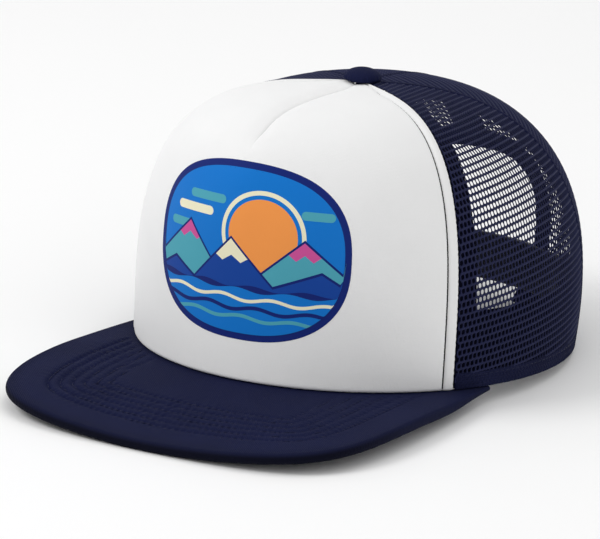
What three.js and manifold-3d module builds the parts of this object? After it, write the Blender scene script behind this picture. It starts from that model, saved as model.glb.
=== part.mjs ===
// A trucker hat: a foam front panel, four mesh panels, a flat peak, a sweatband and a snap strap.
// Millimetres, +Z up, the peak towards -Y and the wearer's left side at +X.
// The crown is drawn with its rim on the plane z = 0 and then leans back onto the table.

import * as THREE from "three";
import { mergeVertices } from "three/addons/utils/BufferGeometryUtils.js";
import Module from "manifold-3d";

const wasm = await Module();
wasm.setup();

// Driving dimensions in millimetres, angles in degrees

const CLEARANCE = 0.3;

const CROWN = {
  halfWidth: 86,
  halfLength: 95,
  height: 104,
  buttonForward: 6,
  frontSeamAngle: 57.5,
  backSeamAngle: 118,
};

// The wall's rise at the front, the side and the back of the crown.
// squareness is the exponent of its rounded top; lean and belly push the wall out
// by a share of the half width or length, at the top and at half height.
const PROFILE = {
  front: { squareness: 4.6, lean: 0.115, belly: -0.05 },
  side: { squareness: 2.7, lean: -0.014, belly: 0.018 },
  back: { squareness: 3.0, lean: 0.05, belly: 0.07 },
};

const CLOTH = {
  foam: 3.0,
  foamEdge: 1.5,
  foamEdgeWidth: 8,
  mesh: 1.2,
};

// The dart sewn into the top of the front panel, and the soft ridge below its end.
// Both are placed by the rise angle of the wall, 0 at the rim and 90 at the button.
const DART = {
  foot: 47,
  fade: 4,
  depth: 1.4,
  halfWidth: 4,
  ridge: 1.3,
  ridgeHalfWidth: 13,
  ridgeFoot: 22,
  ridgeTop: 41,
};

const BUTTON = {
  radius: 7.4,
  height: 5.2,
  lip: 1.2,
  shankRadius: 2.6,
  shankDepth: 4,
};

// The peak is narrower than the crown by its inset on each side. It droops in front and is
// level from a share of its half outline back to its corner.
const PEAK = {
  reach: 66,
  inset: 4.5,
  widestBack: 83,
  droop: 9.7,
  levelShare: 0.74,
  thickness: 4.4,
  cornerThickness: 1.8,
  cornerAngle: 68.3,
  thinFromShare: 0.78,
  tuck: 2.4,
};

// Handles of the peak's outline, as shares of its half width and of its depth.
const PEAK_CURVE = {
  frontHandle: 0.93,
  sideHandle: 0.84,
  rearHandle: 0.34,
  cornerHandle: 0.42,
  cornerTurn: 3,
};

const SWEATBAND = {
  height: 30,
  thickness: 1.4,
};

// The tapes run up to where they would meet round the button, but for a gap.
const TAPE = {
  width: 18,
  thickness: 0.9,
  endGap: 1.5,
};

// The opening's legs lean in to the rim, and its arch is a squarish one.
const OPENING = {
  halfWidth: 29,
  footHalfWidth: 22.5,
  top: 62.5,
  spring: 27,
  squareness: 3.3,
  bindingWidth: 8,
  bindingProud: 0.6,
  patchMargin: 16,
  cutBelow: 20,
};

const STRAP = {
  height: 19.5,
  thickness: 1.4,
  foot: 6.8,
  rootHalfSpan: 52,
  freeHalfSpan: 34,
  rootFlat: 4,
  endRadius: 6,
};

const SNAP = {
  count: 7,
  pitch: 8,
  pegRadius: 2.1,
  headRadius: 3.0,
  headThickness: 0.9,
};

// The back of the rim lies flat on the table behind this line.
const SETTLED_FROM = 75;

// How finely each piece is faceted.
const GRID = {
  front: { columns: 24, rows: 24 },
  mesh: { columns: 9, rows: 18 },
  binding: { columns: 12, rows: 8 },
  sweatband: { columns: 48, rows: 3 },
  tape: { columns: 2, rows: 12 },
  strap: { columns: 22, rows: 2 },
  peak: { stations: 44, spans: 6 },
  button: { sides: 20, domeSteps: 7 },
  snapSides: 10,
  legSteps: 3,
  archSteps: 8,
};
const MIDDLE_CROWDING = 1.3;
const EDGE_TURNS = [45, 90, 135];
const HALVINGS = 40;
const NORMAL_STEP = 0.002;

const COLOURS = {
  white: 0xf2f2f2,
  navy: 0x1b1c3d,
  navyDark: 0x14152e,
};

const rad = THREE.MathUtils.degToRad;
const { lerp, smoothstep } = THREE.MathUtils;

// Shares of the front, side and back profiles at an angle from the front

function shares(angle) {
  const c = Math.cos(angle);
  const front = c > 0 ? c * c : 0;
  const back = c < 0 ? c * c : 0;
  return { front, side: 1 - front - back, back };
}

function blended(angle, column) {
  const share = shares(angle);
  return (
    PROFILE.front[column] * share.front +
    PROFILE.side[column] * share.side +
    PROFILE.back[column] * share.back
  );
}

// The lean of the whole hat, from the settled rim to the front edge of the peak

const peakDepth = PEAK.reach + PEAK.tuck;
const peakFlat = peakDepth - PEAK.thickness / 2;
const peakContactY = -(CROWN.halfLength - PEAK.tuck + peakFlat);
const peakContactZ = -(CLEARANCE + (PEAK.droop * peakFlat) / peakDepth + PEAK.thickness);
const restSlope = -peakContactZ / (SETTLED_FROM - peakContactY);
const restAngle = Math.atan(restSlope);

function rimHeight(y) {
  return Math.max(0, (y - SETTLED_FROM) * restSlope);
}

// Outer surface of the crown: angle from the front towards +X, rise from rim to button

function surfacePoint(angle, rise) {
  const n = blended(angle, "squareness");
  const lean = blended(angle, "lean");
  const belly = blended(angle, "belly");
  const c = Math.max(Math.cos(rise), 0);
  const s = Math.max(Math.sin(rise), 0);
  const reach = (c ** n + s ** n) ** (-1 / n);
  const up = reach * s;
  const out = reach * c;
  const spread = (1 + lean * up + belly * 4 * up * (1 - up)) * out;
  const x = CROWN.halfWidth * Math.sin(angle) * spread;
  const y = -CROWN.halfLength * Math.cos(angle) * spread - CROWN.buttonForward * (1 - out);
  const z = lerp(rimHeight(y), CROWN.height, up);
  return new THREE.Vector3(x, y, z);
}

function surfaceNormal(angle, rise) {
  const step = NORMAL_STEP;
  const along = surfacePoint(angle + step, rise).sub(surfacePoint(angle - step, rise));
  const up = surfacePoint(angle, rise + step).sub(surfacePoint(angle, Math.max(rise - step, 0)));
  return along.cross(up).normalize();
}

// A point at a depth below the outer surface; the rim's lower edge stays on its plane

function crownPoint(angle, rise, depth) {
  const point = surfacePoint(angle, rise);
  const normal = surfaceNormal(angle, rise);
  if (rise === 0) {
    normal.setZ(0).normalize();
  }
  point.addScaledVector(normal, -depth);
  if (rise === 0) {
    point.z = rimHeight(point.y);
  }
  return point;
}

// The rise at which the wall reaches a height, and at which it comes within a
// radius of the button's axis, both found by halving

function riseWhere(angle, isBelow) {
  let low = 0;
  let high = Math.PI / 2;
  for (let turn = 0; turn < HALVINGS; turn += 1) {
    const middle = (low + high) / 2;
    if (isBelow(surfacePoint(angle, middle))) {
      low = middle;
    } else {
      high = middle;
    }
  }
  return low;
}

function riseAtHeight(angle, height) {
  return riseWhere(angle, (point) => point.z < height);
}

function riseAtRadius(angle, radius) {
  return riseWhere(angle, (point) => Math.hypot(point.x, point.y + CROWN.buttonForward) > radius);
}

// Thickness of the wall, thinned where the foam is sewn down along its seams

function wallThickness(angle, rise) {
  const seam = rad(CROWN.frontSeamAngle);
  const point = surfacePoint(angle, rise);
  const radius = Math.hypot(point.x, point.y + CROWN.buttonForward);
  const inward = (seam - Math.abs(angle)) * radius;
  return lerp(CLOTH.foamEdge, CLOTH.foam, smoothstep(inward, 0, CLOTH.foamEdgeWidth));
}

// Depth of the groove or, below zero, of the ridge on the front panel's centre line

function creaseDepth(angle, rise) {
  const across = Math.abs(surfacePoint(angle, rise).x);
  const above = smoothstep(rise, rad(DART.foot - DART.fade), rad(DART.foot + DART.fade));
  const below = smoothstep(rise, rad(DART.ridgeFoot), rad(DART.ridgeTop)) * (1 - above);
  const groove = DART.depth * above * Math.exp(-((across / DART.halfWidth) ** 2));
  const ridge = DART.ridge * below * Math.exp(-((across / DART.ridgeHalfWidth) ** 2));
  return groove - ridge;
}

// A closed wall between two grids of points, at(u, v, side) with side 0 outside and 1 inside

function wallGeometry({ columns, rows }, at) {
  const positions = [];
  const index = [];
  const stride = rows + 1;
  const layer = (columns + 1) * stride;
  for (const side of [0, 1]) {
    for (let i = 0; i <= columns; i += 1) {
      for (let j = 0; j <= rows; j += 1) {
        positions.push(...at(i / columns, j / rows, side).toArray());
      }
    }
  }
  const quad = (a, b, c, d) => index.push(a, b, c, a, c, d);
  const corner = (i, j, side) => side * layer + i * stride + j;
  for (let i = 0; i < columns; i += 1) {
    for (let j = 0; j < rows; j += 1) {
      quad(corner(i, j, 0), corner(i + 1, j, 0), corner(i + 1, j + 1, 0), corner(i, j + 1, 0));
      quad(corner(i, j, 1), corner(i, j + 1, 1), corner(i + 1, j + 1, 1), corner(i + 1, j, 1));
    }
    quad(corner(i, 0, 0), corner(i, 0, 1), corner(i + 1, 0, 1), corner(i + 1, 0, 0));
    quad(corner(i, rows, 0), corner(i + 1, rows, 0), corner(i + 1, rows, 1), corner(i, rows, 1));
  }
  for (let j = 0; j < rows; j += 1) {
    quad(corner(0, j, 0), corner(0, j + 1, 0), corner(0, j + 1, 1), corner(0, j, 1));
    quad(corner(columns, j, 0), corner(columns, j, 1), corner(columns, j + 1, 1), corner(columns, j + 1, 0));
  }
  const geometry = new THREE.BufferGeometry();
  geometry.setAttribute("position", new THREE.Float32BufferAttribute(positions, 3));
  geometry.setIndex(index);
  return facingOut(geometry);
}

function signedVolume(geometry) {
  const position = geometry.getAttribute("position");
  const index = geometry.getIndex();
  const corners = [new THREE.Vector3(), new THREE.Vector3(), new THREE.Vector3()];
  let total = 0;
  for (let i = 0; i < index.count; i += 3) {
    corners.forEach((corner, k) => corner.fromBufferAttribute(position, index.getX(i + k)));
    total += corners[0].dot(corners[1].clone().cross(corners[2]));
  }
  return total / 6;
}

function facingOut(geometry) {
  if (signedVolume(geometry) < 0) {
    const index = geometry.getIndex();
    for (let i = 0; i < index.count; i += 3) {
      const second = index.getX(i + 1);
      index.setX(i + 1, index.getX(i + 2));
      index.setX(i + 2, second);
    }
  }
  geometry.computeVertexNormals();
  return geometry;
}

// Conversions for the pieces that need a boolean cut or join

function toSolid(geometry) {
  const bare = new THREE.BufferGeometry();
  bare.setAttribute("position", geometry.getAttribute("position").clone());
  if (geometry.getIndex()) {
    bare.setIndex(geometry.getIndex().clone());
  }
  const merged = facingOut(mergeVertices(bare, 1e-4));
  const mesh = new wasm.Mesh({
    numProp: 3,
    vertProperties: new Float32Array(merged.getAttribute("position").array),
    triVerts: new Uint32Array(merged.getIndex().array),
  });
  return new wasm.Manifold(mesh);
}

function toGeometry(solid) {
  const mesh = solid.getMesh();
  const geometry = new THREE.BufferGeometry();
  geometry.setAttribute("position", new THREE.BufferAttribute(mesh.vertProperties, mesh.numProp));
  geometry.setIndex(new THREE.BufferAttribute(mesh.triVerts, 1));
  geometry.computeVertexNormals();
  return geometry;
}

// Columns of a panel run between two seam angles, each end held back by half the clearance

function seamInset(angle, rise) {
  const point = surfacePoint(angle, rise);
  return CLEARANCE / 2 / Math.hypot(point.x, point.y + CROWN.buttonForward);
}

function panelGeometry({ from, to, grid, spacing, thickness, crease }) {
  const holeRadius = BUTTON.shankRadius + CLEARANCE;
  return wallGeometry(grid, (u, v, side) => {
    const middle = lerp(rad(from), rad(to), spacing(u));
    const rise = riseAtRadius(middle, holeRadius) * v;
    const start = rad(from) + seamInset(rad(from), rise);
    const end = rad(to) - seamInset(rad(to), rise);
    const angle = lerp(start, end, spacing(u));
    return crownPoint(angle, rise, crease(angle, rise) + side * thickness(angle, rise));
  });
}

const even = (u) => u;
const closerInTheMiddle = (u) => {
  const fromMiddle = 2 * u - 1;
  return 0.5 + 0.5 * Math.sign(fromMiddle) * Math.abs(fromMiddle) ** MIDDLE_CROWDING;
};

function frontPanel() {
  return panelGeometry({
    from: -CROWN.frontSeamAngle,
    to: CROWN.frontSeamAngle,
    grid: GRID.front,
    spacing: closerInTheMiddle,
    thickness: wallThickness,
    crease: creaseDepth,
  });
}

function meshPanel(from, to) {
  return panelGeometry({
    from,
    to,
    grid: GRID.mesh,
    spacing: even,
    thickness: () => CLOTH.mesh,
    crease: () => 0,
  });
}

// One half of the opening's outline, grown by a margin, from its foot up to the top of its arch

function openingHalf(margin) {
  const foot = OPENING.footHalfWidth + margin;
  const spread = OPENING.halfWidth - OPENING.footHalfWidth;
  const points = [new THREE.Vector2(foot, -OPENING.cutBelow)];
  for (let step = 0; step < GRID.legSteps; step += 1) {
    const share = step / GRID.legSteps;
    const x = foot + spread * Math.sin((share * Math.PI) / 2);
    points.push(new THREE.Vector2(x, OPENING.spring * share));
  }
  const rise = OPENING.top - OPENING.spring + margin;
  const power = 2 / OPENING.squareness;
  for (let step = 0; step <= GRID.archSteps; step += 1) {
    const turn = ((step / GRID.archSteps) * Math.PI) / 2;
    const x = step < GRID.archSteps ? (foot + spread) * Math.cos(turn) ** power : 0;
    points.push(new THREE.Vector2(x, OPENING.spring + rise * Math.sin(turn) ** power));
  }
  return points;
}

// The half-moon opening above the strap, as a prism through the back wall

function openingPrism(margin) {
  const half = openingHalf(margin);
  const otherHalf = half.map((point) => new THREE.Vector2(-point.x, point.y)).reverse();
  const outline = new THREE.Shape([...half, ...otherHalf.slice(1)]);
  const depth = 2 * CROWN.halfLength;
  const prism = new THREE.ExtrudeGeometry(outline, { depth, bevelEnabled: false });
  prism.rotateX(Math.PI / 2);
  prism.translate(0, depth + CROWN.halfLength / 2, 0);
  return toSolid(prism);
}

function backPanel(from, to) {
  const uncut = toSolid(meshPanel(from, to));
  return toGeometry(uncut.subtract(openingPrism(OPENING.bindingWidth + CLEARANCE)));
}

function openingBinding() {
  const halfTurn = Math.asin((OPENING.halfWidth + OPENING.patchMargin) / CROWN.halfWidth);
  const patch = wallGeometry(GRID.binding, (u, v, side) => {
    const angle = Math.PI + lerp(-halfTurn, halfTurn, u);
    const top = riseAtHeight(angle, OPENING.top + OPENING.patchMargin);
    return crownPoint(angle, top * v, lerp(-OPENING.bindingProud, CLOTH.mesh, side));
  });
  const band = toSolid(patch).intersect(openingPrism(OPENING.bindingWidth));
  return toGeometry(band.subtract(openingPrism(0)));
}

// The angle, past the side, at which the rim is a given distance from the middle plane

function backAngle(halfSpan) {
  return Math.PI - Math.asin(halfSpan / CROWN.halfWidth);
}

// Depth at which a piece lies against the inside of the wall, foam or mesh

function liningDepth(angle, rise) {
  const behindFoam = Math.abs(angle) < rad(CROWN.frontSeamAngle);
  const wall = behindFoam ? wallThickness(angle, rise) : CLOTH.foamEdge;
  return wall + CLEARANCE;
}

function sweatband() {
  const end = backAngle(STRAP.rootHalfSpan + CLEARANCE);
  return wallGeometry(GRID.sweatband, (u, v, side) => {
    const angle = lerp(-end, end, u);
    const rise = riseAtHeight(angle, SWEATBAND.height) * v;
    return crownPoint(angle, rise, liningDepth(angle, rise) + side * SWEATBAND.thickness);
  });
}

// A tape over the inside of one seam, from a height up to the edge of the button

const closestSeams = Math.min(CROWN.backSeamAngle - CROWN.frontSeamAngle, 180 - CROWN.backSeamAngle);
const tapeEndRadius = (TAPE.width + TAPE.endGap) / rad(closestSeams);

function seamTape(seamAngle, footHeight) {
  const centre = rad(seamAngle);
  const start = riseAtHeight(centre, footHeight);
  const end = riseAtRadius(centre, tapeEndRadius);
  return wallGeometry(GRID.tape, (u, v, side) => {
    const rise = lerp(start, end, v);
    const point = surfacePoint(centre, rise);
    const radius = Math.hypot(point.x, point.y + CROWN.buttonForward);
    const angle = centre + ((u - 0.5) * TAPE.width) / radius;
    return crownPoint(angle, rise, liningDepth(angle, rise) + side * TAPE.thickness);
  });
}

// The peak: its plan outline from the middle of the front to the right-hand corner

function peakOutline() {
  const corner = surfacePoint(rad(PEAK.cornerAngle), 0);
  const halfWidth = CROWN.halfWidth - PEAK.inset;
  const frontY = -(CROWN.halfLength + PEAK.reach);
  const sideY = frontY + PEAK.widestBack;
  const turn = rad(PEAK_CURVE.cornerTurn);
  const rear = corner.y - sideY;
  const outline = new THREE.CurvePath();
  outline.add(
    new THREE.CubicBezierCurve(
      new THREE.Vector2(0, frontY),
      new THREE.Vector2(halfWidth * PEAK_CURVE.frontHandle, frontY),
      new THREE.Vector2(halfWidth, sideY - PEAK.widestBack * PEAK_CURVE.sideHandle),
      new THREE.Vector2(halfWidth, sideY),
    ),
  );
  outline.add(
    new THREE.CubicBezierCurve(
      new THREE.Vector2(halfWidth, sideY),
      new THREE.Vector2(halfWidth, sideY + rear * PEAK_CURVE.rearHandle),
      new THREE.Vector2(
        corner.x + rear * PEAK_CURVE.cornerHandle * Math.sin(turn),
        corner.y - rear * PEAK_CURVE.cornerHandle * Math.cos(turn),
      ),
      new THREE.Vector2(corner.x, corner.y),
    ),
  );
  return outline;
}

// One cross-section of the peak, from -1 at one corner through 0 in front to 1 at the other

function peakSection(outline, share) {
  const side = Math.abs(share);
  const mirror = Math.sign(share) || 1;
  const edge = outline.getPointAt(side);
  const thickness = lerp(PEAK.thickness, PEAK.cornerThickness, smoothstep(side, PEAK.thinFromShare, 1));
  const edgeRadius = thickness / 2;
  const drop = PEAK.droop * (1 - smoothstep(side, 0, PEAK.levelShare));
  const inner = crownPoint(rad(PEAK.cornerAngle) * side, 0, PEAK.tuck);
  const outward = new THREE.Vector2(edge.x - inner.x, edge.y - inner.y);
  const length = outward.length();
  outward.divideScalar(length);
  const points = [];
  const add = (distance, z) => {
    const x = mirror * (inner.x + outward.x * distance);
    points.push(new THREE.Vector3(x, inner.y + outward.y * distance, z));
  };
  const flat = Math.max(length - edgeRadius, length / 2);
  const { spans } = GRID.peak;
  const topAt = (distance) => -CLEARANCE - drop * (distance / length);
  for (let k = 0; k <= spans; k += 1) {
    const distance = (flat * k) / spans;
    add(distance, topAt(distance));
  }
  for (const turn of EDGE_TURNS) {
    const round = Math.sin(rad(turn)) * (length - flat);
    add(flat + round, topAt(flat) - edgeRadius * (1 - Math.cos(rad(turn))));
  }
  for (let k = spans; k >= 0; k -= 1) {
    const distance = (flat * k) / spans;
    add(distance, topAt(distance) - thickness);
  }
  return points;
}

function peak() {
  const outline = peakOutline();
  const { stations } = GRID.peak;
  const sections = [];
  for (let i = 0; i <= stations; i += 1) {
    sections.push(peakSection(outline, (2 * i) / stations - 1));
  }
  const around = sections[0].length;
  const positions = sections.flat().flatMap((point) => point.toArray());
  const index = [];
  for (let i = 0; i < stations; i += 1) {
    for (let k = 0; k < around; k += 1) {
      const a = i * around + k;
      const b = i * around + ((k + 1) % around);
      index.push(a, b, b + around, a, b + around, a + around);
    }
  }
  for (let k = 1; k < around - 1; k += 1) {
    const last = stations * around;
    index.push(0, k + 1, k, last, last + k, last + k + 1);
  }
  const geometry = new THREE.BufferGeometry();
  geometry.setAttribute("position", new THREE.Float32BufferAttribute(positions, 3));
  geometry.setIndex(index);
  return facingOut(geometry);
}

// The button: a covered dome over the meeting of the seams, with a shank down through it

function button() {
  const seat = CROWN.height + CLEARANCE;
  const profile = [
    new THREE.Vector2(0, seat - BUTTON.shankDepth),
    new THREE.Vector2(BUTTON.shankRadius, seat - BUTTON.shankDepth),
    new THREE.Vector2(BUTTON.shankRadius, seat),
    new THREE.Vector2(BUTTON.radius - BUTTON.lip / 2, seat),
  ];
  const { sides, domeSteps } = GRID.button;
  for (let k = 0; k <= domeSteps; k += 1) {
    const turn = (Math.PI / 2) * (k / domeSteps);
    const z = seat + BUTTON.lip + (BUTTON.height - BUTTON.lip) * Math.sin(turn);
    profile.push(new THREE.Vector2(BUTTON.radius * Math.cos(turn), z));
  }
  profile[profile.length - 1].x = 0;
  const dome = new THREE.LatheGeometry(profile, sides);
  dome.rotateX(Math.PI / 2);
  dome.translate(0, -CROWN.buttonForward, 0);
  return toGeometry(toSolid(dome));
}

// The strap: two plastic bands, the one with holes lying outside the one with pegs

const strapLayer = CLOTH.foamEdge + CLEARANCE;
const pegLayer = strapLayer + STRAP.thickness + CLEARANCE;
const strapMiddle = STRAP.foot + STRAP.height / 2;

function strapPoint(x, height, depth) {
  const angle = Math.PI - Math.asin(x / CROWN.halfWidth);
  return crownPoint(angle, riseAtHeight(angle, height), depth);
}

function strapBand(rootSide, depthAt) {
  return wallGeometry(GRID.strap, (u, v, side) => {
    const x = rootSide * lerp(-STRAP.freeHalfSpan, STRAP.rootHalfSpan, u);
    const fromEnd = STRAP.freeHalfSpan + rootSide * x;
    const short = Math.max(STRAP.endRadius - fromEnd, 0);
    const corner = STRAP.endRadius - Math.sqrt(STRAP.endRadius ** 2 - short ** 2);
    const halfHeight = STRAP.height / 2 - corner;
    const height = strapMiddle + (2 * v - 1) * halfHeight;
    return strapPoint(x, height, depthAt(rootSide * x) + side * STRAP.thickness);
  });
}

// A round bar along the wall's normal at one snap, between two depths

function snapBar(place, radius, outerDepth, innerDepth) {
  const x = (place - (SNAP.count - 1) / 2) * SNAP.pitch;
  const outer = strapPoint(x, strapMiddle, outerDepth);
  const inner = strapPoint(x, strapMiddle, innerDepth);
  const axis = outer.clone().sub(inner);
  const bar = new THREE.CylinderGeometry(radius, radius, axis.length(), GRID.snapSides);
  bar.translate(0, axis.length() / 2, 0);
  const turn = new THREE.Quaternion().setFromUnitVectors(new THREE.Vector3(0, 1, 0), axis.normalize());
  bar.applyQuaternion(turn);
  bar.translate(inner.x, inner.y, inner.z);
  return toSolid(bar);
}

function strapWithHoles() {
  let band = toSolid(strapBand(-1, () => strapLayer));
  for (let place = 0; place < SNAP.count; place += 1) {
    const radius = SNAP.pegRadius + CLEARANCE;
    band = band.subtract(snapBar(place, radius, 0, pegLayer + STRAP.thickness));
  }
  return toGeometry(band);
}

function strapWithPegs() {
  const inwardAt = (x) => {
    const free = STRAP.freeHalfSpan + STRAP.endRadius / 2;
    return lerp(pegLayer, strapLayer, smoothstep(x, free, STRAP.rootHalfSpan - STRAP.rootFlat));
  };
  let band = toSolid(strapBand(1, inwardAt));
  const headInner = strapLayer - CLEARANCE;
  const headOuter = headInner - SNAP.headThickness;
  const pegFoot = pegLayer + STRAP.thickness / 2;
  for (let place = 0; place < SNAP.count; place += 1) {
    const shank = snapBar(place, SNAP.pegRadius, (headInner + headOuter) / 2, pegFoot);
    const head = snapBar(place, SNAP.headRadius, headOuter, headInner);
    band = band.add(shank).add(head);
  }
  return toGeometry(band);
}

// Materials and the assembled hat

function cloth(color, roughness) {
  return new THREE.MeshStandardMaterial({ color, roughness, metalness: 0 });
}

function piece(name, geometry, material) {
  const mesh = new THREE.Mesh(geometry, material);
  mesh.name = name;
  return mesh;
}

const { frontSeamAngle, backSeamAngle } = CROWN;
const aboveBand = SWEATBAND.height + 2 * CLEARANCE;
const aboveOpening = OPENING.top + OPENING.bindingWidth + 4 * CLEARANCE;

const hat = new THREE.Group();
hat.add(
  piece("front_panel", frontPanel(), cloth(COLOURS.white, 0.85)),
  piece("mesh_side_left", meshPanel(frontSeamAngle, backSeamAngle), cloth(COLOURS.navy, 0.8)),
  piece("mesh_side_right", meshPanel(-backSeamAngle, -frontSeamAngle), cloth(COLOURS.navy, 0.8)),
  piece("mesh_back_left", backPanel(backSeamAngle, 180), cloth(COLOURS.navy, 0.8)),
  piece("mesh_back_right", backPanel(180, 360 - backSeamAngle), cloth(COLOURS.navy, 0.8)),
  piece("opening_binding", openingBinding(), cloth(COLOURS.navy, 0.9)),
  piece("peak", peak(), cloth(COLOURS.navy, 0.9)),
  piece("button", button(), cloth(COLOURS.navy, 0.9)),
  piece("sweatband", sweatband(), cloth(COLOURS.navyDark, 0.9)),
  piece("tape_front_left", seamTape(frontSeamAngle, aboveBand), cloth(COLOURS.navyDark, 0.9)),
  piece("tape_front_right", seamTape(-frontSeamAngle, aboveBand), cloth(COLOURS.navyDark, 0.9)),
  piece("tape_side_left", seamTape(backSeamAngle, aboveBand), cloth(COLOURS.navyDark, 0.9)),
  piece("tape_side_right", seamTape(-backSeamAngle, aboveBand), cloth(COLOURS.navyDark, 0.9)),
  piece("tape_back", seamTape(180, aboveOpening), cloth(COLOURS.navyDark, 0.9)),
  piece("strap_pegs", strapWithPegs(), cloth(COLOURS.navyDark, 0.4)),
  piece("strap_holes", strapWithHoles(), cloth(COLOURS.navyDark, 0.4)),
);

// The hat leans back until peak and rim both touch the table, its middle over the origin
const standing = new THREE.Group();
hat.rotation.x = -restAngle;
standing.add(hat);
const bounds = new THREE.Box3().setFromObject(standing, true);
hat.position.set(0, -(bounds.min.y + bounds.max.y) / 2, -bounds.min.z);

export default standing;
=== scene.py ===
"""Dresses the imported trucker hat: foam front, net panels, quilted peak, snap strap and a printed badge.

Sizes are millimetres in the hat's own frame: its rim lies on z = 0, the peak points to -Y and the
wearer's left is at +X. placed() leans the hat back onto the table and gives metres in the row frame.
"""

import math

import bmesh
import bpy
import numpy as np
from mathutils import Matrix, Vector


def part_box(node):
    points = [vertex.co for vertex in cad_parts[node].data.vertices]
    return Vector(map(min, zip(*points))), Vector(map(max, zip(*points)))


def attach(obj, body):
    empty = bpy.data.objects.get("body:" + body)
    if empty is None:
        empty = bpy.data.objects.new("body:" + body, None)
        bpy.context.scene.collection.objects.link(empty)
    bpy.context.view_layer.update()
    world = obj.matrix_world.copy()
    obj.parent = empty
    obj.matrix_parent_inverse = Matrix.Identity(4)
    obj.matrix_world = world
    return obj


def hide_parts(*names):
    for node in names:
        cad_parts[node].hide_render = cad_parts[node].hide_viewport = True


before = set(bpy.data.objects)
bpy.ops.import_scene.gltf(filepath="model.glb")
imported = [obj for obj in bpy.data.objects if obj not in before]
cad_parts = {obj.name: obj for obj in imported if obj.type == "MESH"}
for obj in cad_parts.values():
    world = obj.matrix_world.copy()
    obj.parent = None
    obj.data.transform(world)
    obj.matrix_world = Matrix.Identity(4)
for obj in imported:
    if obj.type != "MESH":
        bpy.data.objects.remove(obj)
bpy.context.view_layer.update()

MM = 0.001
BODY = "root"

# Sizes shared with the construction

CLEARANCE = 0.3
CROWN = dict(half_width=86, half_length=95, height=104, button_forward=6, front_seam=57.5, back_seam=118)
PROFILE = {
    "front": dict(squareness=4.6, lean=0.115, belly=-0.05),
    "side": dict(squareness=2.7, lean=-0.014, belly=0.018),
    "back": dict(squareness=3.0, lean=0.05, belly=0.07),
}
FOAM = dict(thickness=3.0, edge=1.5, edge_width=8)
NET_THICKNESS = 1.2
DART = dict(foot=47, fade=4, depth=1.4, half_width=4, ridge=1.3, ridge_half_width=13, ridge_foot=22, ridge_top=41)
BUTTON = dict(radius=7.4, height=5.2, lip=1.2, shank_radius=2.6)
PEAK = dict(
    reach=66,
    inset=4.5,
    widest_back=83,
    droop=9.7,
    level_share=0.74,
    thickness=4.4,
    corner_thickness=1.8,
    corner_angle=68.3,
    thin_from=0.78,
    tuck=2.4,
)
PEAK_CURVE = dict(front=0.93, side=0.84, rear=0.34, corner=0.42, corner_turn=3)
SWEATBAND = dict(height=30, thickness=1.4)
TAPE = dict(width=18, thickness=0.9, end_gap=1.5)
OPENING = dict(half_width=29, foot_half_width=22.5, top=62.5, spring=27, squareness=3.3, binding=8, proud=0.6)
STRAP = dict(height=19.5, thickness=1.4, foot=6.8, root=52, free=34, root_flat=4, end_radius=6)
SNAP = dict(count=7, pitch=8, peg_radius=2.1, head_radius=3.0, head_thickness=0.9)
SETTLED_FROM = 75

# Sizes of the finish alone

SEWN_GAP = 0.05
SEAM = dict(stitch_line=4.6, groove=0.85, groove_width=0.42, scallop=0.22, scallop_pitch=2.7)
NET = dict(column=2.0, row=2.75, hole_width=1.34, hole_height=1.92, strand=0.26, bar=0.40, depth=0.42)
NET_SLOPE = dict(side=0.12, back=0.05)
HEM = dict(height=6.5, dimple=0.28)
NET_FOLD = dict(width=2.6, proud=0.12)
STRAP_EDGE = dict(width=1.3, raised=0.25)
QUILT = dict(
    rows=6, first=16.0, pitch=4.7, depth=0.85, half_width=1.15, dent=0.5, pucker=0.16, pucker_pitch=4.3, stitch=0.17
)
STITCH = dict(length=2.5, radius=0.26, pitch=2.9)
PRINT = dict(
    across=0.7,
    up=50.5,
    half_width=44,
    half_height=34.5,
    squareness=2.5,
    border=2.6,
    thickness=0.06,
    step=0.012,
    cloud=1.7,
    line=1.1,
    zigzag=2.6,
)

# The badge's clouds: left and right end, level and ink, in millimetres from its middle
BADGE_CLOUDS = (
    (-33, -13, 13.5, "cream"),
    (-26, -7, 19.0, "teal"),
    (24, 37, 17.0, "teal"),
    (-37, -24, 6.5, "teal"),
)

# The badge's ranges of hills: ink, ink of the caps, caps as left, right and foot, and the ridge's corners
BADGE_HILLS = (
    (
        "teal",
        "pink",
        ((-32.5, -17.5, 1.0), (19.5, 33, -1.0)),
        ((-44, -9), (-25, 8), (-13, -6), (-4, 1), (8, -9), (26, 6.5), (44, -8)),
    ),
    (
        "deep",
        "cream",
        ((-12.0, 4.5, -4.5),),
        ((-44, -14), (-33, -8), (-22, -14), (-4, 4.5), (14, -13), (33, -5.5), (44, -12)),
    ),
)

# The lake's bands of waves: ink, level, height and swell
BADGE_WAVES = (
    ("outline", -13.5, 30, 0.7),
    ("blue", -14.8, 30, 0.7),
    ("cream", -17.6, 1.3, 0.8),
    ("outline", -21.4, 1.5, 0.8),
    ("teal", -25.0, 1.4, 0.7),
)

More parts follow.
